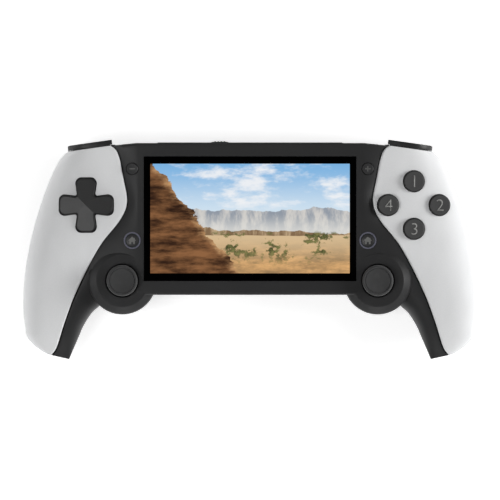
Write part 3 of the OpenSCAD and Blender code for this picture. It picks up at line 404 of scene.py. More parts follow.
def edit(obj, step):
    """Runs an edit mode step on an object with all of it selected"""
    activate(obj)
    bpy.ops.object.mode_set(mode="EDIT")
    bpy.ops.mesh.select_all(action="SELECT")
    step()
    bpy.ops.object.mode_set(mode="OBJECT")
    return obj


def face_out():
    bpy.ops.mesh.select_all(action="SELECT")
    bpy.ops.mesh.normals_make_consistent()


def merge():
    bpy.ops.mesh.select_all(action="SELECT")
    bpy.ops.mesh.remove_doubles(threshold=MERGE)


def close_up():
    merge()
    bpy.ops.mesh.fill_holes(sides=0)
    face_out()


def pick_top(obj):
    """Selects the wide face at the top of an object in edit mode"""
    bpy.ops.mesh.select_all(action="DESELECT")
    bpy.ops.object.mode_set(mode="OBJECT")
    max(obj.data.polygons, key=lambda p: p.center.z * p.area).select = True
    bpy.ops.object.mode_set(mode="EDIT")


def started(name):
    obj = bpy.context.object
    obj.name = obj.data.name = name
    return obj


def loft(name, loops):
    """Skin through closed loops of points, shaped from a grid and filled at its two ends"""
    across, along = len(loops[0]), len(loops)
    bpy.ops.mesh.primitive_grid_add(x_subdivisions=across, y_subdivisions=along - 1)
    obj = started(name)
    for v in obj.data.vertices:
        i = round((v.co.x + 1) / 2 * across) % across
        j = round((v.co.y + 1) / 2 * (along - 1))
        v.co = Vector(loops[j][i]) * MM
    return edit(obj, close_up)


def revolve(name, profile, steps, closed=True):
    """Turned piece: the rows of a grid merged into a chain of edges and spun about the Z axis"""
    count = len(profile) + (1 if closed else 0)
    bpy.ops.mesh.primitive_grid_add(x_subdivisions=count - 1, y_subdivisions=1)
    obj = started(name)
    for v in obj.data.vertices:
        r, z = profile[round((v.co.x + 1) / 2 * (count - 1)) % len(profile)]
        v.co = (r * MM, 0, z * MM)

    def turn():
        merge()
        bpy.ops.mesh.select_all(action="SELECT")
        bpy.ops.mesh.spin(steps=steps, angle=2 * pi, axis=(0, 0, 1))
        merge()
        face_out()

    return edit(obj, turn)


def outline_face(name, outline, z=0):
    """One flat face on an outline"""
    bpy.ops.mesh.primitive_circle_add(vertices=len(outline), fill_type="NGON")
    obj = started(name)
    for v, (x, y) in zip(obj.data.vertices, outline):
        v.co = (x * MM, y * MM, z * MM)
    return obj


def prism(name, outline, low, high, edge=0):
    """Upright piece on an outline, with its top edge rounded"""
    rise = (0, 0, (high - low) * MM)

    def raise_top():
        bpy.ops.mesh.extrude_region_move(TRANSFORM_OT_translate={"value": rise})
        if edge:
            bpy.ops.mesh.region_to_loop()
            bpy.ops.mesh.bevel(offset=edge * MM, segments=4)
        face_out()

    return edit(outline_face(name, outline, low), raise_top)


def block(name, low, high, edge=0):
    """Box between two corners, with all its edges rounded"""
    low, high = Vector(low) * MM, Vector(high) * MM
    bpy.ops.mesh.primitive_cube_add(size=1, location=(low + high) / 2, scale=high - low)
    obj = started(name)
    bpy.ops.object.transform_apply()
    if edge:
        edit(obj, lambda: bpy.ops.mesh.bevel(offset=edge * MM, segments=3))
    return obj


def place(obj, matrix):
    """Moves a piece into place and puts the place in its mesh"""
    activate(obj)
    obj.matrix_world = matrix
    bpy.ops.object.transform_apply()
    return obj


def moved(x, y, z=0):
    return Matrix.Translation((x * MM, y * MM, z * MM))


def at_stick(side=1):
    return moved(side * STICK_AT.x, STICK_AT.y)


def on_pad(side):
    """Frame of the cross pad (side -1) or of the round buttons (side 1), zero on the cover"""
    return moved(side * PAD_AT.x, PAD_AT.y, PAD_AT.z) @ Matrix.Rotation(side * PAD_TILT, 4, "Y")


def twin(obj, name):
    """Copy with its own mesh"""
    copy = obj.copy()
    copy.data = obj.data.copy()
    copy.name = copy.data.name = name
    bpy.context.scene.collection.objects.link(copy)
    return copy


def mirrored(obj, name):
    copy = twin(obj, name)
    place(copy, Matrix.Diagonal((-1, 1, 1, 1)))
    return edit(copy, face_out)


def join(obj, *others):
    activate(obj)
    for other in others:
        other.select_set(True)
    bpy.ops.object.join()


def modify(obj, kind, **settings):
    activate(obj)
    modifier = obj.modifiers.new(kind.title(), kind)
    for key, value in settings.items():
        setattr(modifier, key, value)
    bpy.ops.object.modifier_apply(modifier=modifier.name)


def cut(obj, *cutters):
    """Cuts each cutter out of a piece and removes the cutter"""
    for cutter in cutters:
        modify(obj, "BOOLEAN", operation="DIFFERENCE", object=cutter, solver="EXACT")
        bpy.data.objects.remove(cutter)
    return obj


def disc(radius, low, high, matrix=Matrix.Identity(4), steps=64):
    """Upright cylinder between two heights, put in a place"""
    bpy.ops.mesh.primitive_cylinder_add(
        vertices=steps, radius=radius * MM, depth=(high - low) * MM)
    return place(started("cutter"), matrix @ moved(0, 0, (low + high) / 2))


def smooth(obj, angle=32):
    activate(obj)
    bpy.ops.object.shade_smooth_by_angle(angle=radians(angle))
    return obj


def from_cad(node, name, edge):
    """Merged copy of a CAD node with rounded edges, which stands for the node"""
    obj = twin(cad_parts[node], name)
    obj.parent = None
    for key in list(obj.keys()):
        del obj[key]
    obj.hide_render = obj.hide_viewport = False

    def clean():
        merge()
        bpy.ops.mesh.dissolve_limited(angle_limit=radians(1))

    edit(obj, clean)
    modify(obj, "BEVEL", width=edge, segments=3, limit_method="ANGLE",
           angle_limit=radians(30))
    return smooth(obj)


def dress(obj, *looks):
    obj.data.materials.clear()
    for look in looks:
        obj.data.materials.append(finish(look))


def paint_shade_on_sides(obj, limit):
    """Gives the second finish, a dark painted shade, to faces that turn away from the top"""
    for face in obj.data.polygons:
        face.material_index = int(face.normal.z < limit)


def finished(obj, body, look, slot, *nodes):
    """Gives a piece its finish, its body and the CAD nodes that it stands for"""
    if look:
        dress(obj, look)
    if nodes:
        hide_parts(*nodes)
    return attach(obj, body)


def put(obj, name, spot, body, look, slot, node):
    """Puts a finished copy of a piece in its place"""
    finished(place(twin(obj, name), spot), body, look, slot, node)


# Finishes


class Wire:
    """A value in a shader, with arithmetic that adds Math nodes"""

    def __init__(self, finish, socket):
        self.finish = finish
        self.socket = socket

    def _math(self, operation, a, b):
        return self.finish.add("ShaderNodeMath", {"operation": operation}, {0: a, 1: b})

    def __add__(self, other):
        return self._math("ADD", self, other)

    __radd__ = __add__

    def __sub__(self, other):
        return self._math("SUBTRACT", self, other)

    def __rsub__(self, other):
        return self._math("SUBTRACT", other, self)

    def __mul__(self, other):
        return self._math("MULTIPLY", self, other)

    def __truediv__(self, other):
        return self._math("DIVIDE", self, other)

    def step(self, low, high):
        """Soft step from 0 at low to 1 at high"""
        return self.finish.add(
            "ShaderNodeMapRange", {"interpolation_type": "SMOOTHSTEP"},
            {"Value": self, "From Min": low, "From Max": high})


class Finish:
    """One procedural material"""

    def __init__(self, name):
        self.material = bpy.data.materials.new(name)
        self.material.use_nodes = True
        self.tree = self.material.node_tree
        self.shader = self.tree.nodes["Principled BSDF"]
        self.place = self.add("ShaderNodeTexCoord", {}, {}, "Object")

    def add(self, kind, settings, inputs, output=0):
        """Adds a node: its settings first, then values or links of its sockets"""
        node = self.tree.nodes.new(kind)
        for key, value in settings.items():
            setattr(node, key, value)
        for key, value in inputs.items():
            self.feed(node.inputs[key], value)
        return Wire(self, node.outputs[output])

    def feed(self, socket, value):
        if isinstance(value, Wire):
            self.tree.links.new(value.socket, socket)
        elif hasattr(value, "__len__") and len(value) == 3 and socket.type == "RGBA":
            socket.default_value = (*value, 1)
        else:
            socket.default_value = value

    def noise(self, scale, detail=2, roughness=0.5, stretch=None, place=None):
        place = place or self.place
        if stretch:
            place = self.add("ShaderNodeMapping", {}, {"Vector": place, "Scale": stretch})
        return self.add("ShaderNodeTexNoise", {}, {
            "Vector": place, "Scale": scale, "Detail": detail, "Roughness": roughness})

    def axes(self):
        split = self.add("ShaderNodeSeparateXYZ", {}, {"Vector": self.place})
        outputs = split.socket.node.outputs
        return [Wire(self, outputs[k]) for k in range(3)]

    def mix(self, factor, a, b):
        return self.add("ShaderNodeMix", {"data_type": "RGBA"}, {0: factor, 6: a, 7: b}, 2)

    def bump(self, height, strength, distance):
        return self.add("ShaderNodeBump", {}, {
            "Strength": strength, "Distance": distance, "Height": height})

    def set(self, **values):
        for key, value in values.items():
            self.feed(self.shader.inputs[key.replace("_", " ")], value)
        return self.material


def shade(colour, factor):
    return tuple(min(max(c * factor, 0), 1) for c in colour)


def moulded_plastic(name, colour, rough=0.5, spread=0.08, grain=1, bump=0.12, gleam=0.35):
    """Moulded plastic with spark grain, faint flow marks and uneven gloss"""
    f = Finish(name)
    fine = f.noise(grain / sizes().grain, 3, 0.6)
    flow = f.noise(45, 3, 0.55, (1, 0.45, 1))
    patch = f.noise(260, 2)
    tone = f.mix(flow.step(0.3, 0.7), shade(colour, 0.96), shade(colour, 1.04))
    tone = f.mix(fine.step(0.35, 0.75) * 0.35, tone, shade(colour, 1.12))
    gloss = rough - spread / 2 + patch * spread * 0.6 + fine * spread * 0.4
    return f.set(Base_Color=tone, Roughness=gloss, Specular_IOR_Level=gleam,
                 Normal=f.bump(fine * 0.8 + patch * 0.2, bump, 0.00006))


def soft_rubber(name, colour):
    """Matt rubber with a close pebble grain and a dusty bloom"""
    f = Finish(name)
    pebble = f.add("ShaderNodeTexVoronoi", {"feature": "SMOOTH_F1"}, {
        "Vector": f.place, "Scale": 2200, "Smoothness": 0.6}, "Distance")
    bloom = f.noise(180, 4, 0.6)
    tone = f.mix(bloom.step(0.4, 0.8), colour, shade(colour, 1.5))
    return f.set(Base_Color=tone, Roughness=0.62 + bloom * 0.2, Sheen_Weight=0.15,
                 Normal=f.bump(pebble, 0.2, 0.00008))


def printed_ink(name, colour):
    """Screen printed ink, slightly uneven"""
    f = Finish(name)
    speck = f.noise(1800, 3, 0.6)
    tone = f.mix(speck.step(0.3, 0.7), shade(colour, 0.9), shade(colour, 1.06))
    return f.set(Base_Color=tone, Roughness=0.5 + speck * 0.15,
                 Normal=f.bump(speck, 0.08, 0.00003))


def cover_glass():
    """Black backed glass with faint smears in its gloss"""
    f = Finish("black_glass")
    smear = f.noise(28, 4, 0.6, (1, 0.35, 1))
    tone = f.mix(smear.step(0.4, 0.8), (0.0003, 0.0003, 0.0003), (0.0007, 0.0007, 0.0008))
    return f.set(Base_Color=tone, Roughness=0.05 + smear.step(0.45, 0.8) * 0.08,
                 Specular_IOR_Level=0.02)


def lit_picture():
    """Lit display: a dry valley with far hills under a cloudy sky, and a rock face on the left"""
    f = Finish("lit_picture")
    c = colours()
    width, height, middle_y = 0.0963, 0.0529, 0.015
    x, y, _ = f.axes()
    sx = x / width + 0.5
    sy = (y - middle_y) / height + 0.5

    sky = f.mix(sy.step(0.45, 1.05), (0.72, 0.85, 0.95), c.sky)
    cloud = f.noise(42, 6, 0.62, (1, 2.4, 1))
    cloud_mask = cloud.step(0.46, 0.66) * sy.step(0.5, 0.66)
    picture = f.mix(cloud_mask * 0.92, sky, (0.95, 0.96, 0.98))

    ridge = f.noise(46, 6, 0.55, (1, 0, 0))
    gully = f.noise(120, 5, 0.65, (1.5, 0.55, 1))
    hills = f.mix(gully.step(0.38, 0.64), (0.30, 0.34, 0.40), (0.68, 0.66, 0.63))
    hills = f.mix((0.56 - sy).step(0, 0.2) * 0.75, hills, (0.82, 0.81, 0.77))
    picture = f.mix((0.46 + ridge * 0.24 - sy).step(0, 0.008), picture, hills)

    knoll = f.noise(31, 6, 0.6, (1, 0, 0), f.add("ShaderNodeVectorMath", {
        "operation": "ADD"}, {0: f.place, 1: (0.3, 0, 0)}))
    slope = f.mix(gully.step(0.4, 0.62), (0.24, 0.15, 0.08), (0.60, 0.44, 0.27))
    picture = f.mix((0.26 + knoll * 0.26 - sy).step(0, 0.006), picture, slope)

    roll = f.noise(24, 4, 0.5, (1, 0, 0))
    furrow = f.noise(85, 7, 0.72, (0.5, 1.9, 1))
    sand = f.mix(furrow.step(0.34, 0.68), shade(c.sand, 0.45), shade(c.sand, 1.7))
    sand = f.mix(sy.step(0.36, 0.05) * 0.8, (0.72, 0.53, 0.31), sand)
    ground = (0.30 + roll * 0.10 - sy).step(0, 0.006)
    picture = f.mix(ground, picture, sand)

    leaf = f.noise(420, 5, 0.7)
    patch = f.noise(62, 3, 0.6, (1, 1.6, 1))
    scrub = (patch * 0.75 + leaf * 0.4).step(0.60, 0.65) * (0.40 - sy).step(0, 0.05)
    scrub = scrub * sy.step(0.02, 0.2)
    green = f.mix(leaf.step(0.4, 0.65), (0.045, 0.055, 0.018), (0.22, 0.21, 0.075))
    picture = f.mix(scrub, picture, green)

    jag = f.noise(95, 6, 0.65)
    face = 0.86 - sx * 2.3 + jag * 0.34 - sy
    strata = f.noise(44, 7, 0.68, (0.7, 2.6, 1))
    stone = f.mix(strata.step(0.36, 0.64), (0.026, 0.010, 0.005), (0.30, 0.135, 0.055))
    stone = f.mix((0.12 - face).step(0, 0.12) * strata.step(0.4, 0.6), stone, (0.62, 0.36, 0.17))
    picture = f.mix(face.step(0, 0.012), picture, stone)
    return f.set(Base_Color=(0.003, 0.003, 0.003), Roughness=0.06, Specular_IOR_Level=0.05,
                 Emission_Color=picture, Emission_Strength=0.92)


def lit_ring():
    """Frosted light pipe with a dim violet glow"""
    f = Finish("lit_ring")
    c = colours().ring
    frost = f.noise(900, 3, 0.6)
    glow = f.mix(frost.step(0.3, 0.7), shade(c, 0.8), shade(c, 1.15))
    return f.set(Base_Color=shade(c, 0.8), Roughness=0.45 + frost * 0.15, Emission_Color=glow,
                 Emission_Strength=0.45)


def sheet_steel():
    """Rolled metal with fine drawn lines"""
    f = Finish("steel")
    c = (0.56, 0.56, 0.57)
    lines = f.noise(500, 4, 0.6, (0.15, 6, 6))
    stain = f.noise(60, 3)
    tone = f.mix(stain.step(0.35, 0.7), shade(c, 0.85), c)
    return f.set(Base_Color=tone, Metallic=1, Roughness=0.3 + lines * 0.18,
                 Normal=f.bump(lines, 0.08, 0.00004))


def circuit_board():
    """Green lacquered board with copper tracks under the lacquer"""
    f = Finish("circuit_board")
    c = colours().board
    tracks = f.add("ShaderNodeTexBrick", {"offset": 0.35}, {
        "Vector": f.place, "Scale": 420, "Mortar Size": 0.05}, "Fac")
    pads = f.add("ShaderNodeTexVoronoi", {"feature": "F1"}, {
        "Vector": f.place, "Scale": 480.0}, "Distance")
    tone = f.mix(tracks * 0.6, c, shade(c, 2.2))
    tone = f.mix((0.16 - pads).step(0, 0.02), tone, (0.55, 0.50, 0.36))
    return f.set(Base_Color=tone, Roughness=0.3 + pads * 0.1, Coat_Weight=0.4,
                 Normal=f.bump(tracks, 0.15, 0.00003))


def studio_floor():
    """Pale seamless paper"""
    f = Finish("studio_floor")
    fibre = f.noise(350, 4, 0.6)
    c = colours().floor
    return f.set(Base_Color=f.mix(fibre.step(0.3, 0.7), shade(c, 0.99), c), Roughness=0.85,
                 Specular_IOR_Level=0.1, Emission_Color=c, Emission_Strength=0.6)


def studio_sky():
    """Light tent, brighter near the floor than overhead and darkest right of the top"""
    world = bpy.data.worlds.new("studio")
    world.use_nodes = True
    tree = world.node_tree
    place = tree.nodes.new("ShaderNodeTexCoord")
    lean = tree.nodes.new("ShaderNodeVectorMath")
    lean.operation = "DOT_PRODUCT"
    lean.inputs[1].default_value = (0.42, 0.15, 0.895)
    ramp = tree.nodes.new("ShaderNodeValToRGB")
    tree.links.new(place.outputs["Generated"], lean.inputs[0])
    tree.links.new(lean.outputs["Value"], ramp.inputs[0])
    tree.links.new(ramp.outputs[0], tree.nodes["Background"].inputs["Color"])
    middle, levels = 0.55, (0.40, 0.34, 0.13)
    ramp.color_ramp.elements.new(middle)
    for element, level in zip(ramp.color_ramp.elements, levels):
        element.color = (level, level, level, 1)
    return world


FINISHES = {}


def finish(name):
    """Finish of that name, made once"""
    if not FINISHES:
        c = colours()
        # Colour, roughness and its spread, grain, bump and gleam
        plastics = {
            "pale_cover": (c.cover, 0.5, 0.08, 1, 0.10, 0.12),
            "dark_shell": (c.shell, 0.38, 0.1, 1, 0.16, 0.2),
            "rear_shell": (c.rear, 0.6, 0.1, 0.7, 0.3),
            "key_plastic": (c.key, 0.34, 0.1, 1.2, 0.12),
            # Lighter copy of the key colour for the round buttons: painted light, as they catch
            # more light than the cross pad
            "button_plastic": (shade(c.key, 2.4), 0.45, 0.1, 1.2, 0.12),
            # Near black painted shade for the sides and rims of keys and the walls of key holes,
            # which are the same plastic as the keys
            "key_side": ((0.005, 0.005, 0.005), 0.6),
            "small_key": (c.shell, 0.4, 0.1, 1.2, 0.1),
            "bar_plastic": (c.bar, 0.42, 0.1, 1, 0.12),
            "inner_plastic": ((0.02, 0.02, 0.02), 0.55),
            "chips": ((0.012, 0.012, 0.012), 0.5, 0.1, 0.6, 0.2),
            "battery": ((0.05, 0.055, 0.065), 0.35, 0.15, 0.4, 0.15),
            "ribbon": ((0.45, 0.19, 0.04), 0.35, 0.1, 0.5, 0.1),
        }
        FINISHES.update({key: moulded_plastic(key, *look) for key, look in plastics.items()})
        FINISHES.update({
            "silicone": soft_rubber("silicone", (0.17, 0.17, 0.18)),
            "stick_rubber": soft_rubber("stick_rubber", c.stick),
            "mark_ink": printed_ink("mark_ink", c.mark),
            "dim_ink": printed_ink("dim_ink", shade(c.mark, 0.5)),
            "black_glass": cover_glass(),
            "lit_picture": lit_picture(),
            "lit_ring": lit_ring(),
            "steel": sheet_steel(),
            "circuit_board": circuit_board(),
            "studio_floor": studio_floor(),
        })
    return FINISHES[name]


# Pieces


def key_hole_cutters(side):
    """Cutters for the holes in a cover, whose walls take the cover's second finish, a dark painted
    shade in the gaps round the keys
    """
    if side < 0:
        cutters = [place(prism("cutter", pad_outline(PAD_GAP), -9, 9), on_pad(-1))]
    else:
        cutters = [disc(FACE_HOLE_R, -9, 9, on_pad(1) @ moved(x, y))
                   for x, y, _ in FACE_KEYS.values()]
    # The cutters' faces carry the dark painted shade into the hole walls of the pale cover
    for cutter in cutters:
        dress(cutter, "pale_cover", "key_side")
        for face in cutter.data.polygons:
            face.material_index = 1
    return cutters


class CONSOLE_OT_covers(bpy.types.Operator):
    """Pale grip covers with rounded seams and the holes for their controls"""

    bl_idname = "console.covers"
    bl_label = "Grip covers"

    def execute(self, context):
        right = loft("cover_right", cover_loops(sizes().cover_edge / MM))
        rest = block("bar_rest", (18.2, -1, 20.2), (20.8, 1.15, 23.7))
        corner, end = station(0).seam, station(0).outer
        lean = atan2(end.y - corner.y, end.x - corner.x)
        place(rest, moved(corner.x, corner.y) @ Matrix.Rotation(lean, 4, "Z"))
        join(right, rest)
        left = mirrored(right, "cover_left")
        for obj, (side, word) in zip((left, right), SIDES):
            # Second finish: dark painted shade on the hole walls that the cutters leave
            dress(obj, "pale_cover", "key_side")
            cut(obj, *key_hole_cutters(side))
            smooth(obj, 34)
            finished(obj, "console_body", None, "pale_cover", word + "_grip_cover")
        return {"FINISHED"}


class CONSOLE_OT_front(bpy.types.Operator):
    """Dark front frame: face with its wings, stick pods, inner grip fronts and walls"""

    bl_idname = "console.front"
    bl_label = "Front frame"

    def execute(self, context):
        through, room = (20, 40), (19, 33.5)
        recess = (-51.35, -15.25, 34.95), (51.35, 45.05, 38)
        window = (-48.5, -12, 20), (48.5, 41.8, 38)
        slider_slot = (-19.5, 45, 28.7), (-6.7, 58, 32.3)
        usb_slot = (9.35, 45, 25.45), (18.65, 58, 28.95)
        card_slot = (8, -26, 25.9), (20, -15, 27.1)
        jack = moved(-18, BODY_LOW, 26.6) @ Matrix.Rotation(pi / 2, 4, "X")
        pod = [(STICK_HOLE_R, 33.45), (STICK_HOLE_R, 35.7), (8.2, 35.88), (8.4, 35.95),
               (8.55, 35.95), (12.3, 35.95), (12.45, 35.95), (12.62, 35.92), (12.78, 35.83),
               (12.9, 35.72), (15.5, 33.17), (15.6, 33.07), (15.95, 32.68), (16.22, 32.2),
               (16.36, 31.7), (16.4, 31.2), (16.4, 24.1), (14.4, 24.1), (14.4, 33.45)]

        def gap(corners):
            return block("cutter", *corners)

        face = loft("front_body", face_loops(sizes().frame_edge / MM))
        cut(face, gap(recess), gap(window))
        for side in (-1, 1):
            cut(face, disc(STICK_HOLE_R, *through, at_stick(side)),
                disc(SMALL_HOLE_R, *through, moved(side * SMALL_X, SMALL_Y)),
                disc(RING_HOLE_R, *through, moved(side * SMALL_X, RING_Y)))
        parts = []
        for side in (-1, 1):
            ring = place(revolve("pod", pod, 96), at_stick(side))
            parts.append(cut(ring, gap(recess), gap(window)))
        strip = loft("grip_front", strip_loops())
        cut(strip, disc(STICK_ROOM_R, *room, at_stick()))
        parts += [strip, mirrored(strip, "grip_front_left")]
        top = loft("top_wall", wall_loops(True))
        cut(top, gap(usb_slot), gap(slider_slot))
        low = loft("low_wall", wall_loops(False))
        cut(low, disc(2.38, -10, 10, jack), gap(card_slot))
        for side in (-1, 1):
            cut(low, disc(STICK_ROOM_R, *room, at_stick(side)),
                disc(STICK_HOLE_R, *through, at_stick(side)))
        ledge = block("ledge", (-53, -17, 33.4), (53, 46.8, 34.9))
        cut(ledge, gap(window))
        brow = block("brow", (-44.7, 50, 31.6), (44.7, 51.75, 35.4), 0.2)
        cut(brow, gap(slider_slot))
        join(face, top, low, ledge, brow, *parts)
        smooth(face, 34)
        finished(face, "console_body", "dark_shell", "dark_shell", "front_frame")
        return {"FINISHED"}


class CONSOLE_OT_rear(bpy.types.Operator):
    """Rear shell: plate with speaker slots, backs of the grips and stick pods"""

    bl_idname = "console.rear"
    bl_label = "Rear shell"

    def execute(self, context):
        room = 18.9, 26
        plate = loft("rear_body", tub_loops(1.6))
        for side in (-1, 1):
            for k in range(-2, 3):
                x = side * 44 + k * 2.8
                cut(plate, block("cutter", (x - 0.7, -8, 14), (x + 0.7, 4, 22), 0.3))
        for x, y in ((36, 47.2), (-36, 47.2), (30, -17.5), (-30, -17.5)):
            cut(plate, disc(SCREW_HOLE_R, 12, 18.4, moved(x, y)))
        for side in (-1, 1):
            cut(plate, disc(STICK_ROOM_R, *room, at_stick(side)))
        grip = loft("grip_back", rear_loops())
        cut(grip, disc(SCREW_HOLE_R, -4, 3.4, moved(HALF_W - 13, -27, 0)))
        bulkhead = loft("bulkhead", bulkhead_loops())
        for obj in (grip, bulkhead):
            cut(obj, disc(STICK_ROOM_R, *room, at_stick()))
        pod = revolve("pod_back", [
            (0, 17), (14.8, 17), (15.4, 17.12), (15.9, 17.45), (16.25, 17.95), (16.4, 18.6),
            (16.4, 23.9), (14.4, 23.9), (14.4, 19), (0, 19)], 96)
        place(pod, at_stick())
        post = block("wall_end", (65.2, 48.5, 17.4), (67.45, 50.85, 22.5), 0.3)
        parts = [grip, bulkhead, pod, post]
        join(plate, *parts, *[mirrored(o, o.name + "_left") for o in parts])
        smooth(plate, 36)
        finished(plate, "console_body", "rear_shell", "rear_shell", "rear_shell")
        return {"FINISHED"}


class CONSOLE_OT_screen(bpy.types.Operator):
    """Black glass with the lit picture in its window"""

    bl_idname = "console.screen"
    bl_label = "Screen"

    def execute(self, context):
        margin, squeeze, shift = 2.85, 52.9 / 53.9, 0.1
        w, h, t = GLASS_SIZE
        x, y, z = GLASS_AT
        glass = block("screen_front", (x - w / 2, y - h / 2, z - t), (x + w / 2, y + h / 2, z))
        modify(glass, "BEVEL", width=0.2 * MM, segments=3, limit_method="ANGLE")
        dress(glass, "black_glass", "lit_picture")

        def frame_window():
            pick_top(glass)
            bpy.ops.mesh.inset(thickness=margin * MM)
            bpy.ops.transform.resize(value=(1, squeeze, 1))
            bpy.ops.transform.translate(value=(0, shift * MM, 0))

        edit(glass, frame_window)
        top = [p for p in glass.data.polygons if p.center.z > (z - 0.1) * MM]
        max(top, key=lambda p: p.area).material_index = 1
        finished(glass, "console_body", None, "screen_glass", "screen_glass")
        return {"FINISHED"}


class CONSOLE_OT_pad(bpy.types.Operator):
    """Cross pad with four arms that fall away from its middle"""

    bl_idname = "console.pad"
    bl_label = "Cross pad"

    def execute(self, context):
        slope = 0.09
        pad = prism("cross_pad", pad_outline(0), -6, 2.1, sizes().key_edge / MM)

        def split_top():
            pick_top(pad)
            bpy.ops.mesh.poke()

        edit(pad, split_top)
        for v in pad.data.vertices:
            if v.co.z > 0:
                v.co.z -= slope * max(abs(v.co.x), abs(v.co.y))
        flange = prism("pad_flange", pad_outline(1), -6, -5)
        for obj in (pad, flange):
            cut(obj, disc(4.2, -14, -4.2))
        join(pad, flange)
        # The sides and the rounded top edge take a dark painted shade; the top facets keep the key
        # colour
        dress(pad, "key_plastic", "key_side")
        paint_shade_on_sides(pad, 0.9)
        place(pad, on_pad(-1))
        smooth(pad, 5)
        finished(pad, "dpad", None, "key_plastic", "dpad")
        return {"FINISHED"}


def mark(name, obj, matrix, ink, body):
    """Printed mark: a flat shape given a thin body and put on its key"""
    obj.name = obj.data.name = name
    modify(obj, "SOLIDIFY", thickness=sizes().ink, offset=1)
    place(obj, matrix)
    finished(obj, body, ink, "key_plastic")


def digit(text):
    """Flat figure of the set height, centred on zero"""
    bpy.ops.object.text_add()
    obj = bpy.context.object
    obj.data.body = text
    obj.data.align_x = "CENTER"
    obj.data.align_y = "CENTER"
    obj.data.offset = -0.012
    bpy.ops.object.convert(target="MESH")
    low = Vector([min(v.co[k] for v in obj.data.vertices) for k in range(3)])
    high = Vector([max(v.co[k] for v in obj.data.vertices) for k in range(3)])
    scale = sizes().digit_height / (high.y - low.y)
    place(obj, Matrix.Scale(scale, 4) @ Matrix.Translation(-(low + high) / 2))
    return obj


class CONSOLE_OT_round_buttons(bpy.types.Operator):
    """Four round buttons with rounded rims and printed digits"""

    bl_idname = "console.round_buttons"
    bl_label = "Round buttons"

    def execute(self, context):
        r, top, edge, foot = 5.1, 1.8, 0.7, -6
        rim = [(r - edge + edge * cos(a), top - edge + edge * sin(a))
               for a in quarter(6)]
        profile = [(0, foot - 0.1), (2.5, foot - 0.1), (2.5, foot), (r, foot)] + rim
        profile += [(4.0, top - 0.03), (3.2, top - 0.1), (2, top - 0.16), (0, top - 0.2)]
        button = revolve("round_button", profile, 72, closed=False)
        tabs = block("tabs", (-2, -6, foot), (2, 6, -5), 0.2)
        join(button, tabs)
        # The sides and the outer part of the rounded rim take a dark painted shade
        dress(button, "button_plastic", "key_side")
        paint_shade_on_sides(button, 0.88)
        smooth(button, 34)
        for word, (x, y, text) in FACE_KEYS.items():
            spot = on_pad(1) @ moved(x, y)
            body = word + "_button"
            put(button, word + "_key", spot, body, None, "key_plastic", body)
            mark(word + "_digit", digit(text), spot @ moved(0, 0, top - 0.1), "mark_ink", body)
        bpy.data.objects.remove(button)
        return {"FINISHED"}


def bar_shape(length, width):
    """Flat bar with rounded ends"""
    r = width / 2
    ends = []
    for centre, turn in ((length / 2 - r, -90), (r - length / 2, 90)):
        for k in range(9):
            a = radians(turn + 180 * k / 8)
            ends.append((centre + r * cos(a), r * sin(a)))
    return ends


def flat(outline):
    return edit(outline_face("flat", outline), face_out)


class CONSOLE_OT_small_buttons(bpy.types.Operator):
    """Minus, plus and the two ringed buttons, with their marks and lit rings"""

    bl_idname = "console.small_buttons"
    bl_label = "Small buttons"

    def execute(self, context):
        foot = 31.8
        key = revolve("small_key", [
            (0, foot), (3.65, foot), (3.65, 33.2), (2.75, 33.2), (2.75, SMALL_Z - 0.35),
            (2.68, SMALL_Z - 0.12), (2.5, SMALL_Z), (1.8, SMALL_Z - 0.04), (0, SMALL_Z - 0.1)],
            48, closed=False)
        smooth(key)
        house = [(-2.0, -0.1), (-1.35, -0.1), (-1.35, -1.75), (-0.45, -1.75), (-0.45, -0.75),
                 (0.45, -0.75), (0.45, -1.75), (1.35, -1.75), (1.35, -0.1), (2.0, -0.1),
                 (1.25, 0.65), (1.25, 1.3), (0.8, 1.3), (0.8, 1.1), (0, 1.9)]
        round_key = revolve("ring_key", [
            (0, foot), (3.1, foot), (3.1, RING_Z - 0.1), (3.02, RING_Z + 0.1), (2.85, RING_Z + 0.2),
            (0, RING_Z + 0.25)], 48, closed=False)
        smooth(round_key)
        ring = revolve("light_ring", [
            (3.4, 29.3), (4.1, 29.3), (4.1, RING_Z), (4.03, RING_Z + 0.08), (3.9, RING_Z + 0.1),
            (3.6, RING_Z + 0.1), (3.47, RING_Z + 0.08), (3.4, RING_Z)], 64)
        smooth(ring)
        bar = bar_shape(2.7, 0.42)
        for side, word, sign in ((-1, "left", "minus"), (1, "right", "plus")):
            spot = moved(side * SMALL_X, SMALL_Y)
            body = sign + "_button"
            put(key, sign + "_key", spot, body, "small_key", "key_plastic", body)
            top = spot @ moved(0, 0, SMALL_Z - 0.08)
            mark(sign + "_bar", flat(bar), top, "dim_ink", body)
            if sign == "plus":
                turn = Matrix.Rotation(pi / 2, 4, "Z")
                mark("plus_upright", flat(bar), top @ turn, "dim_ink", body)
            spot = moved(side * SMALL_X, RING_Y)
            body = word + "_home_button"
            put(round_key, word + "_ring_key", spot, body, "small_key", "key_plastic", body)
            mark(word + "_house", flat(house), spot @ moved(0, 0, RING_Z + 0.24), "dim_ink", body)
            put(ring, word + "_ring", spot, "console_body", "lit_ring", "light_ring",
                word + "_light_ring")
        for obj in (key, round_key, ring):
            bpy.data.objects.remove(obj)
        return {"FINISHED"}


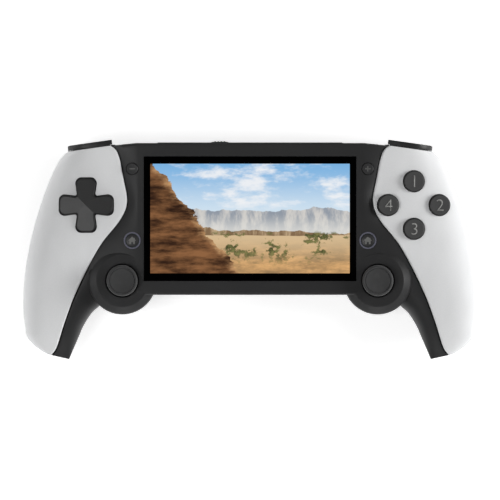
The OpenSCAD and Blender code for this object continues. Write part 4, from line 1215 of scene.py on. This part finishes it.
class CONSOLE_OT_sticks(bpy.types.Operator):
    """Thumb stick caps with a rolled rim, a groove, a dished top and a dome below"""

    bl_idname = "console.sticks"
    bl_label = "Thumb sticks"

    def execute(self, context):
        low, top = 39.6, 42.4
        cap = [(0, 29.4), (1.9, 29.4), (1.9, 35), (3.8, 35), (3.8, 39.2), (4.4, low), (6.6, low),
               (7.15, low + 0.15), (7.42, low + 0.5), (7.5, low + 1.0), (7.48, top - 1.0),
               (7.36, top - 0.52), (7.1, top - 0.2), (6.8, top - 0.04), (6.55, top),
               (6.32, top - 0.08), (6.2, top - 0.25), (6.12, top - 0.55), (6.02, top - 0.55),
               (5.92, top - 0.36)]
        cap += [(5.8 * f, top - 1.1 + 0.8 * f * f) for f in (1, 0.85, 0.7, 0.55, 0.4, 0.25, 0.1, 0)]
        stick = revolve("stick", cap, 96, closed=False)
        angles = [radians(26 + 31 * k / 10) for k in range(11)]
        dome = [(r * sin(a), STICK_PIVOT_Z + r * cos(a))
                for r, turn in ((7.6, angles), (7.0, angles[::-1])) for a in turn]
        pivot = moved(0, 0, STICK_PIVOT_Z) @ Matrix.Rotation(pi / 2, 4, "X")
        join(stick, revolve("dome", dome, 96), disc(0.8, -4.4, 4.4, pivot, 24))
        smooth(stick, 36)
        for side, word in SIDES:
            node = word + "_stick_cap"
            put(stick, word + "_stick", at_stick(side), node, "stick_rubber", "stick_rubber", node)
        bpy.data.objects.remove(stick)
        return {"FINISHED"}


class CONSOLE_OT_shoulders(bpy.types.Operator):
    """Shoulder bars, triggers and the ribbed slide switch, with rounded edges"""

    bl_idname = "console.shoulders"
    bl_label = "Shoulders and slider"

    def execute(self, context):
        edge = sizes().bar_edge
        for word in ("left", "right"):
            for piece in ("bumper", "trigger"):
                node = f"{word}_{piece}"
                obj = from_cad(node, f"{word}_{piece}_key", edge)
                finished(obj, node, "bar_plastic", "trigger_plastic", node)
        obj = from_cad("power_slider", "slider", 0.08 * MM)
        finished(obj, "power_slider", "bar_plastic", "key_plastic", "power_slider")
        return {"FINISHED"}


class CONSOLE_OT_inside(bpy.types.Operator):
    """Finishes for the CAD pieces that stay: ports, boards, stick works and screws"""

    bl_idname = "console.inside"
    bl_label = "Inner pieces"

    def execute(self, context):
        both = [f"{side}_{piece}" for side in ("left", "right") for piece in (
            "speaker", "stick_carrier", "stick_base", "stick_yoke", "shoulder_bracket")]
        groups = {
            "steel": ("display_tray", "usb_socket", "card_slot", "power_switch", "dpad_pivot",
                      "tact_switches", "shoulder_pins", "case_screws", "board_screws"),
            "circuit_board": ("main_board", "dpad_board", "face_board", "left_strip_board",
                              "right_strip_board"),
            "inner_plastic": ("headphone_jack", "lcd_panel", *both),
            "silicone": ("dpad_membrane", "face_membrane"),
            "chips": ("board_chips",),
            "battery": ("battery",),
            "ribbon": ("display_ribbon",),
        }
        for name, nodes in groups.items():
            for node in nodes:
                dress(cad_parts[node], name)
        return {"FINISHED"}


class CONSOLE_OT_stage(bpy.types.Operator):
    """Pale floor, soft lights and a camera straight above the screen"""

    bl_idname = "console.stage"
    bl_label = "Stage"

    def execute(self, context):
        bpy.ops.mesh.primitive_plane_add(size=6)
        floor = started("floor")
        dress(floor, "studio_floor")
        context.scene.world = studio_sky()
        context.scene.view_settings.view_transform = "Standard"
        # Name, place, width and power of each light, in metres and watts
        lights = (("key", (1.42, 0.1, 0.6), 0.8, 17.5), ("fill", (-1.46, 0.0, 0.3), 0.8, 2.6),
                  ("front", (0.0, -1.4, 0.45), 0.8, 3.2),
                  ("overhead", (-0.56, -0.2, 1.2), 0.5, 4))
        middle = Vector((0, 0, 0.03))
        for name, spot, size, power in lights:
            bpy.ops.object.light_add(type="AREA", location=spot)
            light = bpy.context.object
            light.name = name
            light.data.shape = "DISK"
            light.data.size = size
            light.data.energy = power
            aim = middle - Vector(spot)
            light.rotation_euler = aim.to_track_quat("-Z", "Y").to_euler()
        width, lens, sensor, front_z = 0.2419, 600, 36, 0.028
        bpy.ops.object.camera_add(location=(0, -0.0002, front_z + width * lens / sensor))
        camera = bpy.context.object
        camera.name = "camera"
        camera.data.lens = lens
        camera.data.sensor_width = sensor
        camera.data.clip_end = 50
        context.scene.camera = camera
        return {"FINISHED"}


STEPS = (CONSOLE_OT_covers, CONSOLE_OT_front, CONSOLE_OT_rear, CONSOLE_OT_screen, CONSOLE_OT_pad,
         CONSOLE_OT_round_buttons, CONSOLE_OT_small_buttons, CONSOLE_OT_sticks,
         CONSOLE_OT_shoulders, CONSOLE_OT_inside, CONSOLE_OT_stage)


class CONSOLE_PT_build(bpy.types.Panel):
    """Lists the steps that build the console"""

    bl_idname = "CONSOLE_PT_build"
    bl_label = "Console"
    bl_space_type = "VIEW_3D"
    bl_region_type = "UI"
    bl_category = "Console"

    def draw(self, context):
        for group in (sizes(), colours()):
            for name in group.__annotations__:
                self.layout.prop(group, name)
        for step in STEPS:
            self.layout.operator(step.bl_idname)


CLASSES = (ConsoleSizes, ConsoleColours, *STEPS, CONSOLE_PT_build)


def register():
    for cls in CLASSES:
        bpy.utils.register_class(cls)
    bpy.types.Scene.console_sizes = bpy.props.PointerProperty(type=ConsoleSizes)
    bpy.types.Scene.console_colours = bpy.props.PointerProperty(type=ConsoleColours)


def unregister():
    del bpy.types.Scene.console_colours
    del bpy.types.Scene.console_sizes
    for cls in reversed(CLASSES):
        bpy.utils.unregister_class(cls)


def main():
    register()
    for step in STEPS:
        group, name = step.bl_idname.split(".")
        getattr(getattr(bpy.ops, group), name)()


if __name__ == "__main__":
    main()
